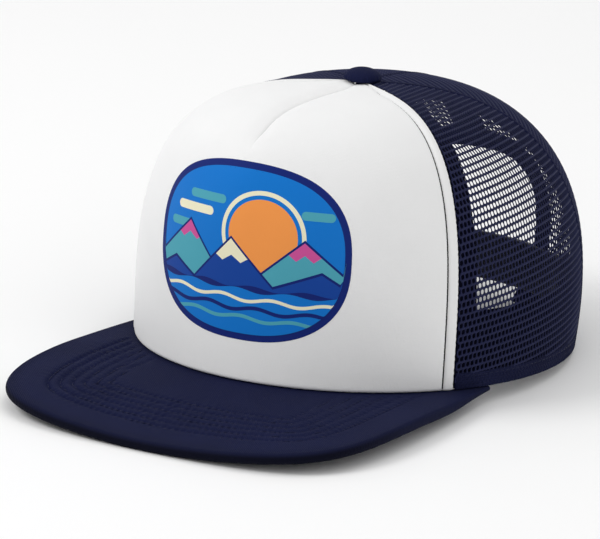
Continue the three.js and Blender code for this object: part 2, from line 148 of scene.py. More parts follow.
COLOURS = {
    "white": (0.86, 0.86, 0.86),
    "navy": (0.0080, 0.0104, 0.0415),
    # Painted shade: a darker navy painted on the peak's lip and underside, where the rounded lip is in shade
    "underside": (0.0022, 0.0026, 0.0095),
    "net": (0.0135, 0.0165, 0.0580),
    "doubled_net": (0.0095, 0.0115, 0.0400),
    "lining": (0.0050, 0.0056, 0.0190),
    "plastic": (0.0050, 0.0058, 0.0200),
    "thread": (0.0095, 0.0118, 0.0440),
    # Partly painted shadow: a near-black seam thread that also stands in for the shadow in the seam's groove
    "seam_thread": (0.0020, 0.0020, 0.0030),
    "ink_outline": (0.0020, 0.0140, 0.1500),
    "ink_blue": (0.0010, 0.1650, 0.5700),
    "ink_orange": (0.8700, 0.3050, 0.0700),
    "ink_pink": (0.5800, 0.0800, 0.3000),
    "ink_cream": (0.8300, 0.7900, 0.5700),
    "ink_teal": (0.0700, 0.3500, 0.4400),
    "ink_deep": (0.0030, 0.0500, 0.3000),
}
SHEEN_TINT = (0.35, 0.4, 0.7)


# The crown's shape, the same rule as the construction's


def rad(degrees):
    return math.radians(degrees)


def smooth(value, low, high):
    share = np.clip((value - low) / (high - low), 0, 1)
    return share * share * (3 - 2 * share)


PEAK_DEPTH = PEAK["reach"] + PEAK["tuck"]
PEAK_FLAT = PEAK_DEPTH - PEAK["thickness"] / 2
PEAK_CONTACT_Y = -(CROWN["half_length"] - PEAK["tuck"] + PEAK_FLAT)
PEAK_CONTACT_Z = -(CLEARANCE + PEAK["droop"] * PEAK_FLAT / PEAK_DEPTH + PEAK["thickness"])
REST_SLOPE = -PEAK_CONTACT_Z / (SETTLED_FROM - PEAK_CONTACT_Y)
REST_ANGLE = math.atan(REST_SLOPE)


def turned(points):
    """Points leant back with the hat about the X axis."""
    x, y, z = np.moveaxis(np.asarray(points, float), -1, 0)
    c, s = math.cos(REST_ANGLE), math.sin(REST_ANGLE)
    return np.stack([x, y * c + z * s, z * c - y * s], -1)


def resting_place():
    """Where the rim's centre lies, from the table's contact and the front of the CAD peak."""
    front_z = PEAK_CONTACT_Z + PEAK["thickness"] / 2
    front = turned([0, -(CROWN["half_length"] + PEAK["reach"]), front_z])
    contact = turned([0, PEAK_CONTACT_Y, PEAK_CONTACT_Z])
    return np.array([0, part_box("peak")[0].y / MM - front[1], -contact[2]])


REST_PLACE = resting_place()


def placed(points):
    return (turned(points) + REST_PLACE) * MM


def rim_height(y):
    return np.maximum(0, (y - SETTLED_FROM) * REST_SLOPE)


def blended(angle, column):
    c = np.cos(angle)
    front = np.where(c > 0, c * c, 0)
    back = np.where(c < 0, c * c, 0)
    shares = {"front": front, "side": 1 - front - back, "back": back}
    return sum(PROFILE[name][column] * share for name, share in shares.items())


def surface_point(angle, rise):
    """A point of the outer surface: angle from the front towards +X, rise from rim to button."""
    n = blended(angle, "squareness")
    c = np.maximum(np.cos(rise), 0)
    s = np.maximum(np.sin(rise), 0)
    reach = (c**n + s**n) ** (-1 / n)
    up = reach * s
    out = reach * c
    spread = (1 + blended(angle, "lean") * up + blended(angle, "belly") * 4 * up * (1 - up)) * out
    x = CROWN["half_width"] * np.sin(angle) * spread
    y = -CROWN["half_length"] * np.cos(angle) * spread - CROWN["button_forward"] * (1 - out)
    foot = rim_height(y)
    z = foot + (CROWN["height"] - foot) * up
    return np.stack(np.broadcast_arrays(x, y, z), -1)


def surface_normal(angle, rise):
    step = 0.002
    along = surface_point(angle + step, rise) - surface_point(angle - step, rise)
    up = surface_point(angle, rise + step) - surface_point(angle, np.maximum(rise - step, 0))
    normal = np.cross(along, up)
    return normal / np.linalg.norm(normal, axis=-1, keepdims=True)


def crown_point(angle, rise, depth):
    """A point at a depth below the outer surface. Near the rim it keeps its height."""
    angle, rise, depth = np.broadcast_arrays(angle, rise, depth)
    point = surface_point(angle, rise)
    normal = surface_normal(angle, rise)
    level = 1 - np.clip((point[..., 2] - rim_height(point[..., 1])) / 4, 0, 1)
    normal[..., 2] *= 1 - level
    normal /= np.linalg.norm(normal, axis=-1, keepdims=True)
    moved = point - normal * depth[..., None]
    moved[..., 2] += level * (rim_height(moved[..., 1]) - rim_height(point[..., 1]))
    return moved


def rise_where(angle, is_below):
    low = np.zeros(np.shape(angle))
    high = np.full(np.shape(angle), math.pi / 2)
    for _ in range(36):
        middle = (low + high) / 2
        below = is_below(surface_point(angle, middle))
        low = np.where(below, middle, low)
        high = np.where(below, high, middle)
    return low


def rise_at_height(angle, height):
    return rise_where(angle, lambda p: p[..., 2] < height)


def rise_at_radius(angle, radius):
    return rise_where(angle, lambda p: axis_distance(p) > radius)


def axis_distance(points):
    return np.hypot(points[..., 0], points[..., 1] + CROWN["button_forward"])


def back_point(x, height, depth):
    """A point of the back wall by its distance from the middle plane and its height."""
    x, height = np.broadcast_arrays(np.asarray(x, float), np.asarray(height, float))
    angle = math.pi - np.arcsin(x / CROWN["half_width"])
    return crown_point(angle, rise_at_height(angle, height), depth)


# Meshes


def new_object(name, points, faces, flat=None, edges=()):
    """A mesh object from points in the row frame, with its flat cloth pattern as a UV map."""
    mesh = bpy.data.meshes.new(name)
    mesh.from_pydata(np.asarray(points).tolist(), list(edges), [list(map(int, f)) for f in faces])
    if flat is not None:
        layer = mesh.uv_layers.new(name="flat")
        corners = np.zeros(len(mesh.loops), np.int32)
        mesh.loops.foreach_get("vertex_index", corners)
        layer.data.foreach_set("uv", np.asarray(flat, np.float32)[corners].ravel())
    obj = bpy.data.objects.new(name, mesh)
    bpy.context.scene.collection.objects.link(obj)
    return obj


def closed_smooth(obj, weld=0.004):
    """Welds doubled points, turns the faces outwards and shades them smoothly."""
    work = bmesh.new()
    work.from_mesh(obj.data)
    bmesh.ops.remove_doubles(work, verts=work.verts, dist=weld * MM)
    bmesh.ops.recalc_face_normals(work, faces=work.faces)
    if work.calc_volume(signed=True) < 0:
        bmesh.ops.reverse_faces(work, faces=work.faces)
    work.to_mesh(obj.data)
    work.free()
    obj.data.shade_smooth()
    obj.data.set_sharp_from_angle(angle=rad(50))
    return obj


def joined(name, parts):
    """Several mesh objects made one."""
    work = bmesh.new()
    for part in parts:
        work.from_mesh(part.data)
    mesh = bpy.data.meshes.new(name)
    work.to_mesh(mesh)
    work.free()
    for part in parts:
        bpy.data.objects.remove(part)
    obj = bpy.data.objects.new(name, mesh)
    bpy.context.scene.collection.objects.link(obj)
    return obj


def grid_quads(rows, columns, start=0):
    index = np.arange(rows * columns).reshape(rows, columns) + start
    return np.stack([index[:-1, :-1], index[:-1, 1:], index[1:, 1:], index[1:, :-1]], -1).reshape(-1, 4)


def shell_faces(rows, columns):
    """Faces of a closed wall between two equal grids, the second stored after the first."""
    count = rows * columns
    index = np.arange(count).reshape(rows, columns)
    front = grid_quads(rows, columns)
    ring = np.concatenate([index[0, :-1], index[:-1, -1], index[-1, :0:-1], index[:0:-1, 0]])
    after = np.roll(ring, -1)
    rim = np.stack([after, ring, ring + count, after + count], -1)
    return np.concatenate([front, front[:, ::-1] + count, rim])


def shell(name, outer, inner, flat):
    """A closed wall between two grids of points in the hat frame, flat in millimetres."""
    rows, columns = outer.shape[:2]
    points = placed(np.concatenate([outer.reshape(-1, 3), inner.reshape(-1, 3)]))
    pattern = np.tile(np.asarray(flat).reshape(-1, 2) * MM, (2, 1))
    return closed_smooth(new_object(name, points, shell_faces(rows, columns), pattern))


def spaced(length, step, rim, turns=4):
    """Distances along a length, even in the middle and crowded where the rims turn."""
    turn = rim * (1 - np.cos(np.linspace(0, math.pi / 2, turns + 1)))
    count = max(round((length - 2 * rim) / step), 1)
    middle = np.linspace(rim, length - rim, count + 1)
    return np.concatenate([turn[:-1], middle, (length - turn[::-1])[1:]])


def rim_round(distance, radius):
    """0 inside a wall, rising to 1 at its rim as a quarter circle does."""
    share = np.clip(distance / radius, 0, 1)
    return 1 - np.sqrt(1 - (1 - share) ** 2)


# Materials


def link(tree, source, target):
    tree.links.new(source, target)


def math_node(tree, operation, first, second=None):
    node = tree.nodes.new("ShaderNodeMath")
    node.operation = operation
    for socket, value in zip(node.inputs, (first, second)):
        if value is None:
            continue
        if isinstance(value, bpy.types.NodeSocket):
            link(tree, value, socket)
        else:
            socket.default_value = value
    return node.outputs[0]


def group_with(name, inputs, outputs):
    tree = bpy.data.node_groups.new(name, "ShaderNodeTree")
    for label, kind, default in inputs:
        socket = tree.interface.new_socket(label, in_out="INPUT", socket_type=kind)
        if default is not None:
            socket.default_value = default
    for label in outputs:
        tree.interface.new_socket(label, in_out="OUTPUT", socket_type="NodeSocketFloat")
    return tree, tree.nodes.new("NodeGroupInput"), tree.nodes.new("NodeGroupOutput")


def weave_group():
    """Plain weave: threads that pass over and under each other, and an uneven thickness."""
    inputs = (("Vector", "NodeSocketVector", None), ("Thread pitch", "NodeSocketFloat", 0.0005))
    tree, start, end = group_with("woven threads", inputs, ("Height", "Shade"))
    scale = tree.nodes.new("ShaderNodeVectorMath")
    scale.operation = "SCALE"
    link(tree, start.outputs["Vector"], scale.inputs[0])
    link(tree, math_node(tree, "DIVIDE", 1.0, start.outputs["Thread pitch"]), scale.inputs["Scale"])
    split = tree.nodes.new("ShaderNodeSeparateXYZ")
    link(tree, scale.outputs[0], split.inputs[0])
    ribs = []
    cells = []
    for axis in ("X", "Y"):
        wave = math_node(tree, "SINE", math_node(tree, "MULTIPLY", split.outputs[axis], math.pi))
        ribs.append(math_node(tree, "ABSOLUTE", wave))
        cells.append(math_node(tree, "FLOOR", split.outputs[axis]))
    over = math_node(tree, "PINGPONG", math_node(tree, "ADD", *cells), 1.0)
    choose = tree.nodes.new("ShaderNodeMix")
    link(tree, over, choose.inputs["Factor"])
    link(tree, ribs[0], choose.inputs["A"])
    link(tree, ribs[1], choose.inputs["B"])
    noise = tree.nodes.new("ShaderNodeTexNoise")
    noise.inputs["Scale"].default_value = 0.35
    link(tree, scale.outputs[0], noise.inputs["Vector"])
    height = math_node(tree, "MULTIPLY", choose.outputs["Result"], math_node(tree, "ADD", noise.outputs[0], 0.5))
    link(tree, height, end.inputs["Height"])
    link(tree, math_node(tree, "POWER", choose.outputs["Result"], 0.5), end.inputs["Shade"])
    return tree


def tone_group():
    """Slow and fine unevenness of tone, each from 0 to 1."""
    inputs = (("Vector", "NodeSocketVector", None), ("Size", "NodeSocketFloat", 0.03))
    tree, start, end = group_with("uneven tone", inputs, ("Broad", "Fine"))
    for label, share, detail in (("Broad", 1.0, 2.0), ("Fine", 30.0, 4.0)):
        noise = tree.nodes.new("ShaderNodeTexNoise")
        noise.inputs["Detail"].default_value = detail
        link(tree, start.outputs["Vector"], noise.inputs["Vector"])
        link(tree, math_node(tree, "DIVIDE", share, start.outputs["Size"]), noise.inputs["Scale"])
        link(tree, noise.outputs[0], end.inputs[label])
    return tree


WOVEN = weave_group()
TONE = tone_group()


def placed_group(tree, group, **values):
    node = tree.nodes.new("ShaderNodeGroup")
    node.node_tree = group
    for label, value in values.items():
        node.inputs[label.replace("_", " ").capitalize()].default_value = value
    return node


def shader(name, colour, roughness, sheen=0.0, coat=0.0, specular=0.5):
    material = bpy.data.materials.new(name)
    material.use_nodes = True
    tree = material.node_tree
    principled = tree.nodes["Principled BSDF"]
    principled.inputs["Base Color"].default_value = (*colour, 1)
    principled.inputs["Roughness"].default_value = roughness
    principled.inputs["Sheen Weight"].default_value = sheen
    principled.inputs["Sheen Roughness"].default_value = 0.4
    principled.inputs["Sheen Tint"].default_value = (*SHEEN_TINT, 1)
    principled.inputs["Coat Weight"].default_value = coat
    principled.inputs["Specular IOR Level"].default_value = specular
    return material, tree, principled


def coordinate(tree, on_pattern):
    """The piece's own flat pattern, or its place in the row frame."""
    if on_pattern:
        node = tree.nodes.new("ShaderNodeUVMap")
        node.uv_map = "flat"
        return node.outputs["UV"]
    return tree.nodes.new("ShaderNodeTexCoord").outputs["Object"]


def tinted(tree, principled, colour, mask, spread):
    """Base colour between a darker and a lighter tone of one colour, by a mask."""
    mix = tree.nodes.new("ShaderNodeMix")
    mix.data_type = "RGBA"
    mix.inputs["A"].default_value = (*(c * (1 - spread) for c in colour), 1)
    mix.inputs["B"].default_value = (*(min(c * (1 + spread), 1) for c in colour), 1)
    link(tree, mask, mix.inputs["Factor"])
    link(tree, mix.outputs["Result"], principled.inputs["Base Color"])


def bumped(tree, principled, height, distance, strength=1.0):
    bump = tree.nodes.new("ShaderNodeBump")
    bump.inputs["Distance"].default_value = distance * MM
    bump.inputs["Strength"].default_value = strength
    link(tree, height, bump.inputs["Height"])
    link(tree, bump.outputs["Normal"], principled.inputs["Normal"])


def cloth(name, colour, thread, relief, spread=0.12, roughness=0.85, sheen=0.02, underside=None):
    """Woven cloth of one colour, its threads following the piece's flat pattern, perhaps with a painted shade colour
    mixed in by a mask.
    """
    material, tree, principled = shader(name, colour, roughness, sheen, specular=0.06)
    weave = placed_group(tree, WOVEN, thread_pitch=thread * MM)
    link(tree, coordinate(tree, True), weave.inputs["Vector"])
    tone = placed_group(tree, TONE, size=0.02)
    link(tree, coordinate(tree, False), tone.inputs["Vector"])
    shade = math_node(tree, "MULTIPLY", weave.outputs["Shade"], tone.outputs["Broad"])
    tinted(tree, principled, colour, math_node(tree, "ADD", shade, math_node(tree, "MULTIPLY", shade, 0.5)), spread)
    rough = math_node(tree, "MULTIPLY_ADD", tone.outputs["Fine"], 0.2)
    rough.node.inputs[2].default_value = roughness - 0.1
    link(tree, rough, principled.inputs["Roughness"])
    bumped(tree, principled, weave.outputs["Height"], relief)
    # Painted shade: mixes a darker colour into the cloth by the piece's mask attribute
    if underside:
        mask = tree.nodes.new("ShaderNodeAttribute")
        mask.attribute_name = "underside"
        mix = tree.nodes.new("ShaderNodeMix")
        mix.data_type = "RGBA"
        link(tree, mask.outputs["Fac"], mix.inputs["Factor"])
        link(tree, principled.inputs["Base Color"].links[0].from_socket, mix.inputs["A"])
        mix.inputs["B"].default_value = (*underside, 1)
        link(tree, mix.outputs["Result"], principled.inputs["Base Color"])
    return material


def grained(name, colour, roughness, size, relief, spread=0.08, sheen=0.0, coat=0.0, specular=0.15):
    """A solid colour with a fine grain, for threads, net, plastic and ink."""
    material, tree, principled = shader(name, colour, roughness, sheen, coat, specular)
    tone = placed_group(tree, TONE, size=size)
    link(tree, coordinate(tree, False), tone.inputs["Vector"])
    tinted(tree, principled, colour, tone.outputs["Broad"], spread)
    rough = math_node(tree, "MULTIPLY_ADD", tone.outputs["Fine"], 0.16)
    rough.node.inputs[2].default_value = roughness - 0.08
    link(tree, rough, principled.inputs["Roughness"])
    bumped(tree, principled, tone.outputs["Fine"], relief)
    return material


MATERIALS = {
    "foam_front": cloth("white foam jersey", COLOURS["white"], 0.55, 0.05, spread=0.02, roughness=0.8),
    "navy_cloth": cloth("navy twill", COLOURS["navy"], 0.5, 0.08, spread=0.18, roughness=0.75),
    # The peak's cloth carries painted shade on its lip and underside
    "peak_cloth": cloth(
        "navy peak twill with painted shade", COLOURS["navy"], 0.5, 0.08, spread=0.18, roughness=0.75, underside=COLOURS["underside"]
    ),
    "net": grained("navy net", COLOURS["net"], 0.6, 0.004, 0.05, spread=0.15),
    "net_cloth": cloth("doubled navy net", COLOURS["doubled_net"], 0.9, 0.25, spread=0.3),
    "lining": cloth("navy lining", COLOURS["lining"], 0.6, 0.1, spread=0.15),
    "tape": cloth("navy tape", COLOURS["lining"], 0.7, 0.12, spread=0.15),
    "plastic": grained("moulded navy plastic", COLOURS["plastic"], 0.38, 0.01, 0.01, spread=0.05, specular=0.4),
    "thread": grained("navy thread", COLOURS["thread"], 0.5, 0.002, 0.03, spread=0.2),
    "seam_thread": grained("dark seam thread", COLOURS["seam_thread"], 0.6, 0.002, 0.03, spread=0.2),
}
for colour in COLOURS:
    if colour.startswith("ink_"):
        MATERIALS[colour] = grained(colour.replace("_", " "), COLOURS[colour], 0.55, 0.02, 0.02, spread=0.03)


def finished(obj, material, replaces=()):
    """Gives a piece its material, puts it on the hat's body and hides the CAD parts it replaces."""
    obj.data.materials.clear()
    obj.data.materials.append(MATERIALS[material])
    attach(obj, BODY)
    if replaces:
        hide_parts(*replaces)
    return obj


# Geometry Nodes


class Tree:
    """A geometry node tree with named inputs, built a node at a time."""

    def __init__(self, name, inputs):
        self.tree = bpy.data.node_groups.new(name, "GeometryNodeTree")
        for label, kind in inputs:
            self.tree.interface.new_socket(label, in_out="INPUT", socket_type="NodeSocket" + kind)
        self.tree.interface.new_socket("Geometry", in_out="OUTPUT", socket_type="NodeSocketGeometry")
        self.start = self.tree.nodes.new("NodeGroupInput")
        self.end = self.tree.nodes.new("NodeGroupOutput")

    def given(self, label):
        return self.start.outputs[label]

    def node(self, kind, settings=(), **sockets):
        """Adds a node. A socket is named with _ for a space, or _0, _1 and so on for its place."""
        node = self.tree.nodes.new(kind)
        for key, value in dict(settings).items():
            setattr(node, key, value)
        for label, value in sockets.items():
            key = int(label[1:]) if label.startswith("_") else label.replace("_", " ")
            if isinstance(value, bpy.types.NodeSocket):
                self.tree.links.new(value, node.inputs[key])
            else:
                node.inputs[key].default_value = value
        return node

    def first(self, kind, settings=(), **sockets):
        return self.node(kind, settings, **sockets).outputs[0]

    def calculate(self, operation, first, second=0.0):
        return self.first("ShaderNodeMath", {"operation": operation}, _0=first, _1=second)

    def finish(self, geometry):
        """Realizes the instances, shades smoothly, sets the material and ends the tree."""
        real = self.first("GeometryNodeRealizeInstances", Geometry=geometry)
        soft = self.first("GeometryNodeSetShadeSmooth", Geometry=real)
        done = self.first("GeometryNodeSetMaterial", Geometry=soft, Material=self.given("Material"))
        self.tree.links.new(done, self.end.inputs[0])
        return self.tree


def grown(name, tree, material, **inputs):
    """Runs a tree with its named inputs and keeps the result as a plain mesh object."""
    host = new_object(name, [], [])
    modifier = host.modifiers.new("grown", "NODES")
    modifier.node_group = tree
    sockets = {s.name: s.identifier for s in tree.interface.items_tree if s.in_out == "INPUT"}
    for label, value in inputs.items():
        modifier[sockets[label.replace("_", " ")]] = value
    modifier[sockets["Material"]] = MATERIALS[material]
    evaluated = host.evaluated_get(bpy.context.evaluated_depsgraph_get())
    mesh = bpy.data.meshes.new_from_object(evaluated)
    host.modifiers.clear()
    host.data = mesh
    mesh.name = name
    return host


def stitch_tree():
    """Lays a stitch at even steps along every line of a path."""
    inputs = (("Path", "Object"), ("Stitch", "Object"), ("Pitch", "Float"), ("Material", "Material"))
    work = Tree("stitch rows", inputs)
    path = work.node("GeometryNodeObjectInfo", Object=work.given("Path")).outputs["Geometry"]
    lines = work.first("GeometryNodeMeshToCurve", Mesh=path)
    even = work.first("GeometryNodeResampleCurve", {"mode": "LENGTH"}, Curve=lines, Length=work.given("Pitch"))
    along = work.first("GeometryNodeInputTangent")
    turn = work.first("FunctionNodeAlignRotationToVector", {"axis": "X"}, Vector=along)
    stitch = work.node("GeometryNodeObjectInfo", Object=work.given("Stitch")).outputs["Geometry"]
    return work.finish(work.first("GeometryNodeInstanceOnPoints", Points=even, Instance=stitch, Rotation=turn))


def net_tree():
    """Repeats a knitted cell in a brick pattern over flat cloth and wraps the cloth onto its surface."""
    inputs = (
        ("Surface", "Object"),
        ("Cell", "Object"),
        ("Columns", "Int"),
        ("Rows", "Int"),
        ("Column pitch", "Float"),
        ("Row pitch", "Float"),
        ("Row slope", "Float"),
        ("Foot", "Float"),
        ("Material", "Material"),
    )
    work = Tree("knitted net", inputs)
    column, row = work.given("Column pitch"), work.given("Row pitch")
    width = work.calculate("MULTIPLY", work.calculate("SUBTRACT", work.given("Columns"), 1.0), column)
    height = work.calculate("MULTIPLY", work.calculate("SUBTRACT", work.given("Rows"), 1.0), row)
    grid = work.first(
        "GeometryNodeMeshGrid",
        Size_X=width,
        Size_Y=height,
        Vertices_X=work.given("Columns"),
        Vertices_Y=work.given("Rows"),
    )
    here = work.first("GeometryNodeInputPosition")
    place = work.node("ShaderNodeSeparateXYZ", Vector=here)
    above = work.calculate("ADD", place.outputs["Y"], work.calculate("MULTIPLY", height, 0.5))
    turn = work.calculate("MODULO", work.calculate("ROUND", work.calculate("DIVIDE", above, row)), 2.0)
    stagger = work.calculate("MULTIPLY", turn, work.calculate("MULTIPLY", column, 0.5))
    lift = work.calculate("ADD", work.calculate("MULTIPLY", height, 0.5), work.given("Foot"))
    shift = work.first("ShaderNodeCombineXYZ", X=stagger, Y=lift)
    brick = work.first("GeometryNodeSetPosition", Geometry=grid, Offset=shift)
    cell = work.node("GeometryNodeObjectInfo", Object=work.given("Cell")).outputs["Geometry"]
    laid = work.first("GeometryNodeInstanceOnPoints", Points=brick, Instance=cell)
    real = work.first("GeometryNodeRealizeInstances", Geometry=laid)
    joined = work.first("GeometryNodeMergeByDistance", Geometry=real, Distance=0.03 * MM)
    slant = work.calculate("MULTIPLY", place.outputs["X"], work.given("Row slope"))
    spot = work.first("ShaderNodeCombineXYZ", X=place.outputs["X"], Y=work.calculate("ADD", place.outputs["Y"], slant))
    surface = work.node("GeometryNodeObjectInfo", Object=work.given("Surface")).outputs["Geometry"]
    vector = {"data_type": "FLOAT_VECTOR"}
    pattern = work.first("GeometryNodeInputNamedAttribute", vector, Name="flat")
    facing = work.first("GeometryNodeInputNamedAttribute", vector, Name="facing")
    sampler = dict(Mesh=surface, UV_Map=pattern, Sample_UV=spot)
    on_cloth = work.node("GeometryNodeSampleUVSurface", vector, Value=here, **sampler)
    outward = work.node("GeometryNodeSampleUVSurface", vector, Value=facing, **sampler)
    off = work.first("FunctionNodeBooleanMath", {"operation": "NOT"}, _0=on_cloth.outputs["Is Valid"])
    trimmed = work.first("GeometryNodeDeleteGeometry", {"domain": "POINT"}, Geometry=joined, Selection=off)
    proud = work.first(
        "ShaderNodeVectorMath", {"operation": "SCALE"}, _0=outward.outputs["Value"], Scale=place.outputs["Z"]
    )
    target = work.first("ShaderNodeVectorMath", {"operation": "ADD"}, _0=on_cloth.outputs["Value"], _1=proud)
    return work.finish(work.first("GeometryNodeSetPosition", Geometry=trimmed, Position=target))


STITCH_ROWS = stitch_tree()
KNITTED_NET = net_tree()


def stitch_shape(length, radius):
    """One stitch along X: a short thread whose ends dip into the cloth."""
    rings, sides = 5, 5
    points = []
    for i in range(rings + 1):
        share = 2 * i / rings - 1
        fat = radius * math.sqrt(max(1 - share**4, 0.02))
        dip = -radius * share**4
        for k in range(sides):
            turn = 2 * math.pi * k / sides
            points.append((share * length / 2, fat * math.cos(turn), dip + fat * math.sin(turn)))
    faces = []
    for i in range(rings):
        for k in range(sides):
            a, b = i * sides + k, i * sides + (k + 1) % sides
            faces.append((a, a + sides, b + sides, b))
    faces.append(tuple(range(sides)))
    faces.append(tuple(range(rings * sides + sides - 1, rings * sides - 1, -1)))
    return new_object("stitch_shape", np.array(points) * MM, faces)


def stitched(name, lines, length=STITCH["length"], radius=STITCH["radius"], pitch=STITCH["pitch"], thread="thread"):
    """Rows of stitches along lines of points in the hat frame, as one piece."""
    points, edges = [], []
    for line in lines:
        start = len(points)
        points.extend(placed(line))
        edges.extend((start + i, start + i + 1) for i in range(len(line) - 1))
    path = new_object("stitch_path", points, [], edges=edges)
    shape = stitch_shape(length, radius)
    rows = grown(name, STITCH_ROWS, thread, Path=path, Stitch=shape, Pitch=pitch * MM)
    bpy.data.objects.remove(path)
    bpy.data.objects.remove(shape)
    return finished(rows, thread)


ROW_BEND = 3


class Pattern:
    """The flat pattern of a stretch of the crown: across from its middle line and up from the rim."""

    def __init__(self, first, last):
        self.first, self.last = rad(first), rad(last)
        self.angles = np.linspace(self.first, self.last, 181)
        self.rises = np.linspace(0, rad(89.6), 257)
        points = surface_point(self.angles[:, None], self.rises[None, :])
        steps = np.linalg.norm(np.diff(points, axis=0), axis=-1)
        across = np.concatenate([np.zeros((1, len(self.rises))), np.cumsum(steps, axis=0)])
        middle = len(self.angles) // 2
        self.across = across - across[middle]
        climb = np.linalg.norm(np.diff(points[middle], axis=0), axis=-1)
        self.up = np.concatenate([[0], np.cumsum(climb)])

    def across_at(self, angle, rise):
        i = (angle - self.angles[0]) / (self.angles[1] - self.angles[0])
        j = rise / self.rises[1]
        a = np.clip(np.floor(i).astype(int), 0, len(self.angles) - 2)
        b = np.clip(np.floor(j).astype(int), 0, len(self.rises) - 2)
        u, v = i - a, j - b
        low = self.across[a, b] * (1 - u) + self.across[a + 1, b] * u
        high = self.across[a, b + 1] * (1 - u) + self.across[a + 1, b + 1] * u
        return low * (1 - v) + high * v

    def up_at(self, rise):
        return np.interp(rise, self.rises, self.up)

    def rise_at(self, up):
        return np.interp(up, self.up, self.rises)

    def find(self, across, up):
        """The angle and rise of points of the flat pattern."""
        across, rise = np.broadcast_arrays(across, self.rise_at(up))
        low = np.full(across.shape, self.first)
        high = np.full(across.shape, self.last)
        for _ in range(30):
            middle = (low + high) / 2
            below = self.across_at(middle, rise) < across
            low = np.where(below, middle, low)
            high = np.where(below, high, middle)
        return low, rise

    def flat(self, angle, rise):
        """Flat cloth whose rows run straight across the panel: level on the wall, chords near the button."""
        turn = angle - (self.first + self.last) / 2
        quarter = math.pi / 2
        steepness = np.tan(np.clip(quarter * (rise / quarter) ** ROW_BEND, 0, quarter - 1e-4))
        row = quarter * (np.arctan(steepness / np.cos(turn)) / quarter) ** (1 / ROW_BEND)
        return np.stack(np.broadcast_arrays(self.across_at(angle, rise), self.up_at(row)), -1)


# The foam front panel


FRONT = Pattern(-CROWN["front_seam"], CROWN["front_seam"])
FULL_MARGIN = 26
RIM_GAPS = np.array([0, 0.06, 0.2, 0.45, 0.75, 1.2, 1.8, 2.6, 3.4, 4.0, 4.3, 4.45, 4.6, 4.75, 4.9, 5.2, 5.8, 6.8, 8])
CENTRE_GAPS = np.array([0, 0.15, 0.3, 0.5, 0.8, 1.3, 2, 3, 4.4, 6, 8, 10.5])


def foam_thickness(seam_distance):
    return FOAM["edge"] + (FOAM["thickness"] - FOAM["edge"]) * smooth(seam_distance, 0, FOAM["edge_width"])


def front_half(up):
    """Half the panel's width in its flat pattern, and how far its rim details close up near the top."""
    rise = FRONT.rise_at(up)
    half = FRONT.across_at(np.full(np.shape(rise), FRONT.last), rise) - CLEARANCE / 2
    return half, np.minimum(1, half / FULL_MARGIN)


def dart_depth(angle, rise):
    """Depth of the dart and, below zero, of the soft ridge under it."""
    x = np.abs(surface_point(angle, rise)[..., 0])
    above = smooth(rise, rad(DART["foot"] - DART["fade"]), rad(DART["foot"] + DART["fade"]))
    below = smooth(rise, rad(DART["ridge_foot"]), rad(DART["ridge_top"])) * (1 - above)
    groove = DART["depth"] * np.exp(-((x / DART["half_width"]) ** 2)) + 1.15 * np.exp(-x / 0.55)
    groove *= 0.35 + 0.65 * smooth(axis_distance(surface_point(angle, rise)), 6, 18)
    return groove * above - DART["ridge"] * below * np.exp(-((x / DART["ridge_half_width"]) ** 2))


def seam_relief(gap):
    """Depth beside the panel's seam: a puffed strip, the stitched groove and the foam rising behind it."""
    line = SEAM["stitch_line"]
    groove = SEAM["groove"] * np.exp(-(((gap - line) / SEAM["groove_width"]) ** 2))
    strip = 0.25 * np.sin(math.pi * np.clip(gap / line, 0, 1))
    shoulder = 0.3 * np.exp(-(((gap - line) / 1.4) ** 2))
    return groove + shoulder - strip


def foam_waves(across, up):
    """Slow unevenness of the foam."""
    return 0.10 * np.sin(across / 17 + 0.6) * np.sin(up / 23 + 1.1) + 0.05 * np.sin(across / 7.3 + up / 9.1)


def front_depth(across, up, angle, rise):
    half, close = front_half(up)
    gap = (half - np.abs(across)) / close
    return dart_depth(angle, rise) + seam_relief(gap) + foam_waves(across, up)


def front_rows():
    top = FRONT.up_at(rise_at_radius(np.array(FRONT.last), BUTTON["shank_radius"] + 2 * CLEARANCE))
    return spaced(float(top), 1.1, 1.3)


def make_front_panel():
    up = front_rows()
    half, close = front_half(up)
    half = half - SEAM["scallop"] * (0.5 + 0.5 * np.cos(2 * math.pi * up / SEAM["scallop_pitch"])) * close
    centre = CENTRE_GAPS[None, :] * close[:, None]
    rim = half[:, None] - RIM_GAPS[None, ::-1] * close[:, None]
    share = np.linspace(0, 1, 36)[None, 1:-1]
    between = centre[:, -1:] * (1 - share) + rim[:, :1] * share
    right = np.concatenate([centre, between, rim], axis=1)
    across = np.concatenate([-right[:, :0:-1], right], axis=1)
    up = np.broadcast_to(up[:, None], across.shape)
    angle, rise = FRONT.find(across, up)
    gap = half[:, None] - np.abs(across)
    thickness = foam_thickness(gap)
    end = np.minimum(up, up[-1, 0] - up)
    rolled = np.maximum(rim_round(gap, FOAM["edge"] / 2), rim_round(end, 1.3))
    outer_depth = front_depth(across, up, angle, rise)
    inner_depth = dart_depth(angle, rise) + thickness
    middle = (outer_depth + inner_depth) / 2
    outer = crown_point(angle, rise, outer_depth + (middle - outer_depth) * rolled)
    inner = crown_point(angle, rise, inner_depth + (middle - inner_depth) * rolled)
    panel = shell("front_panel_foam", outer, inner, np.stack([across, up], -1))
    finished(panel, "foam_front", ["front_panel"])
    return panel


def outline_height(x, half_width, half_height):
    """Half the height of the badge's rounded outline at a distance from its middle."""
    power = PRINT["squareness"]
    return half_height * np.maximum(1 - np.abs(x / half_width) ** power, 0) ** (1 / power)


def round_columns(middle, half):
    """Places across a rounded shape, crowded at its two ends."""
    return middle + half * np.sin(np.linspace(-math.pi / 2, math.pi / 2, 61))


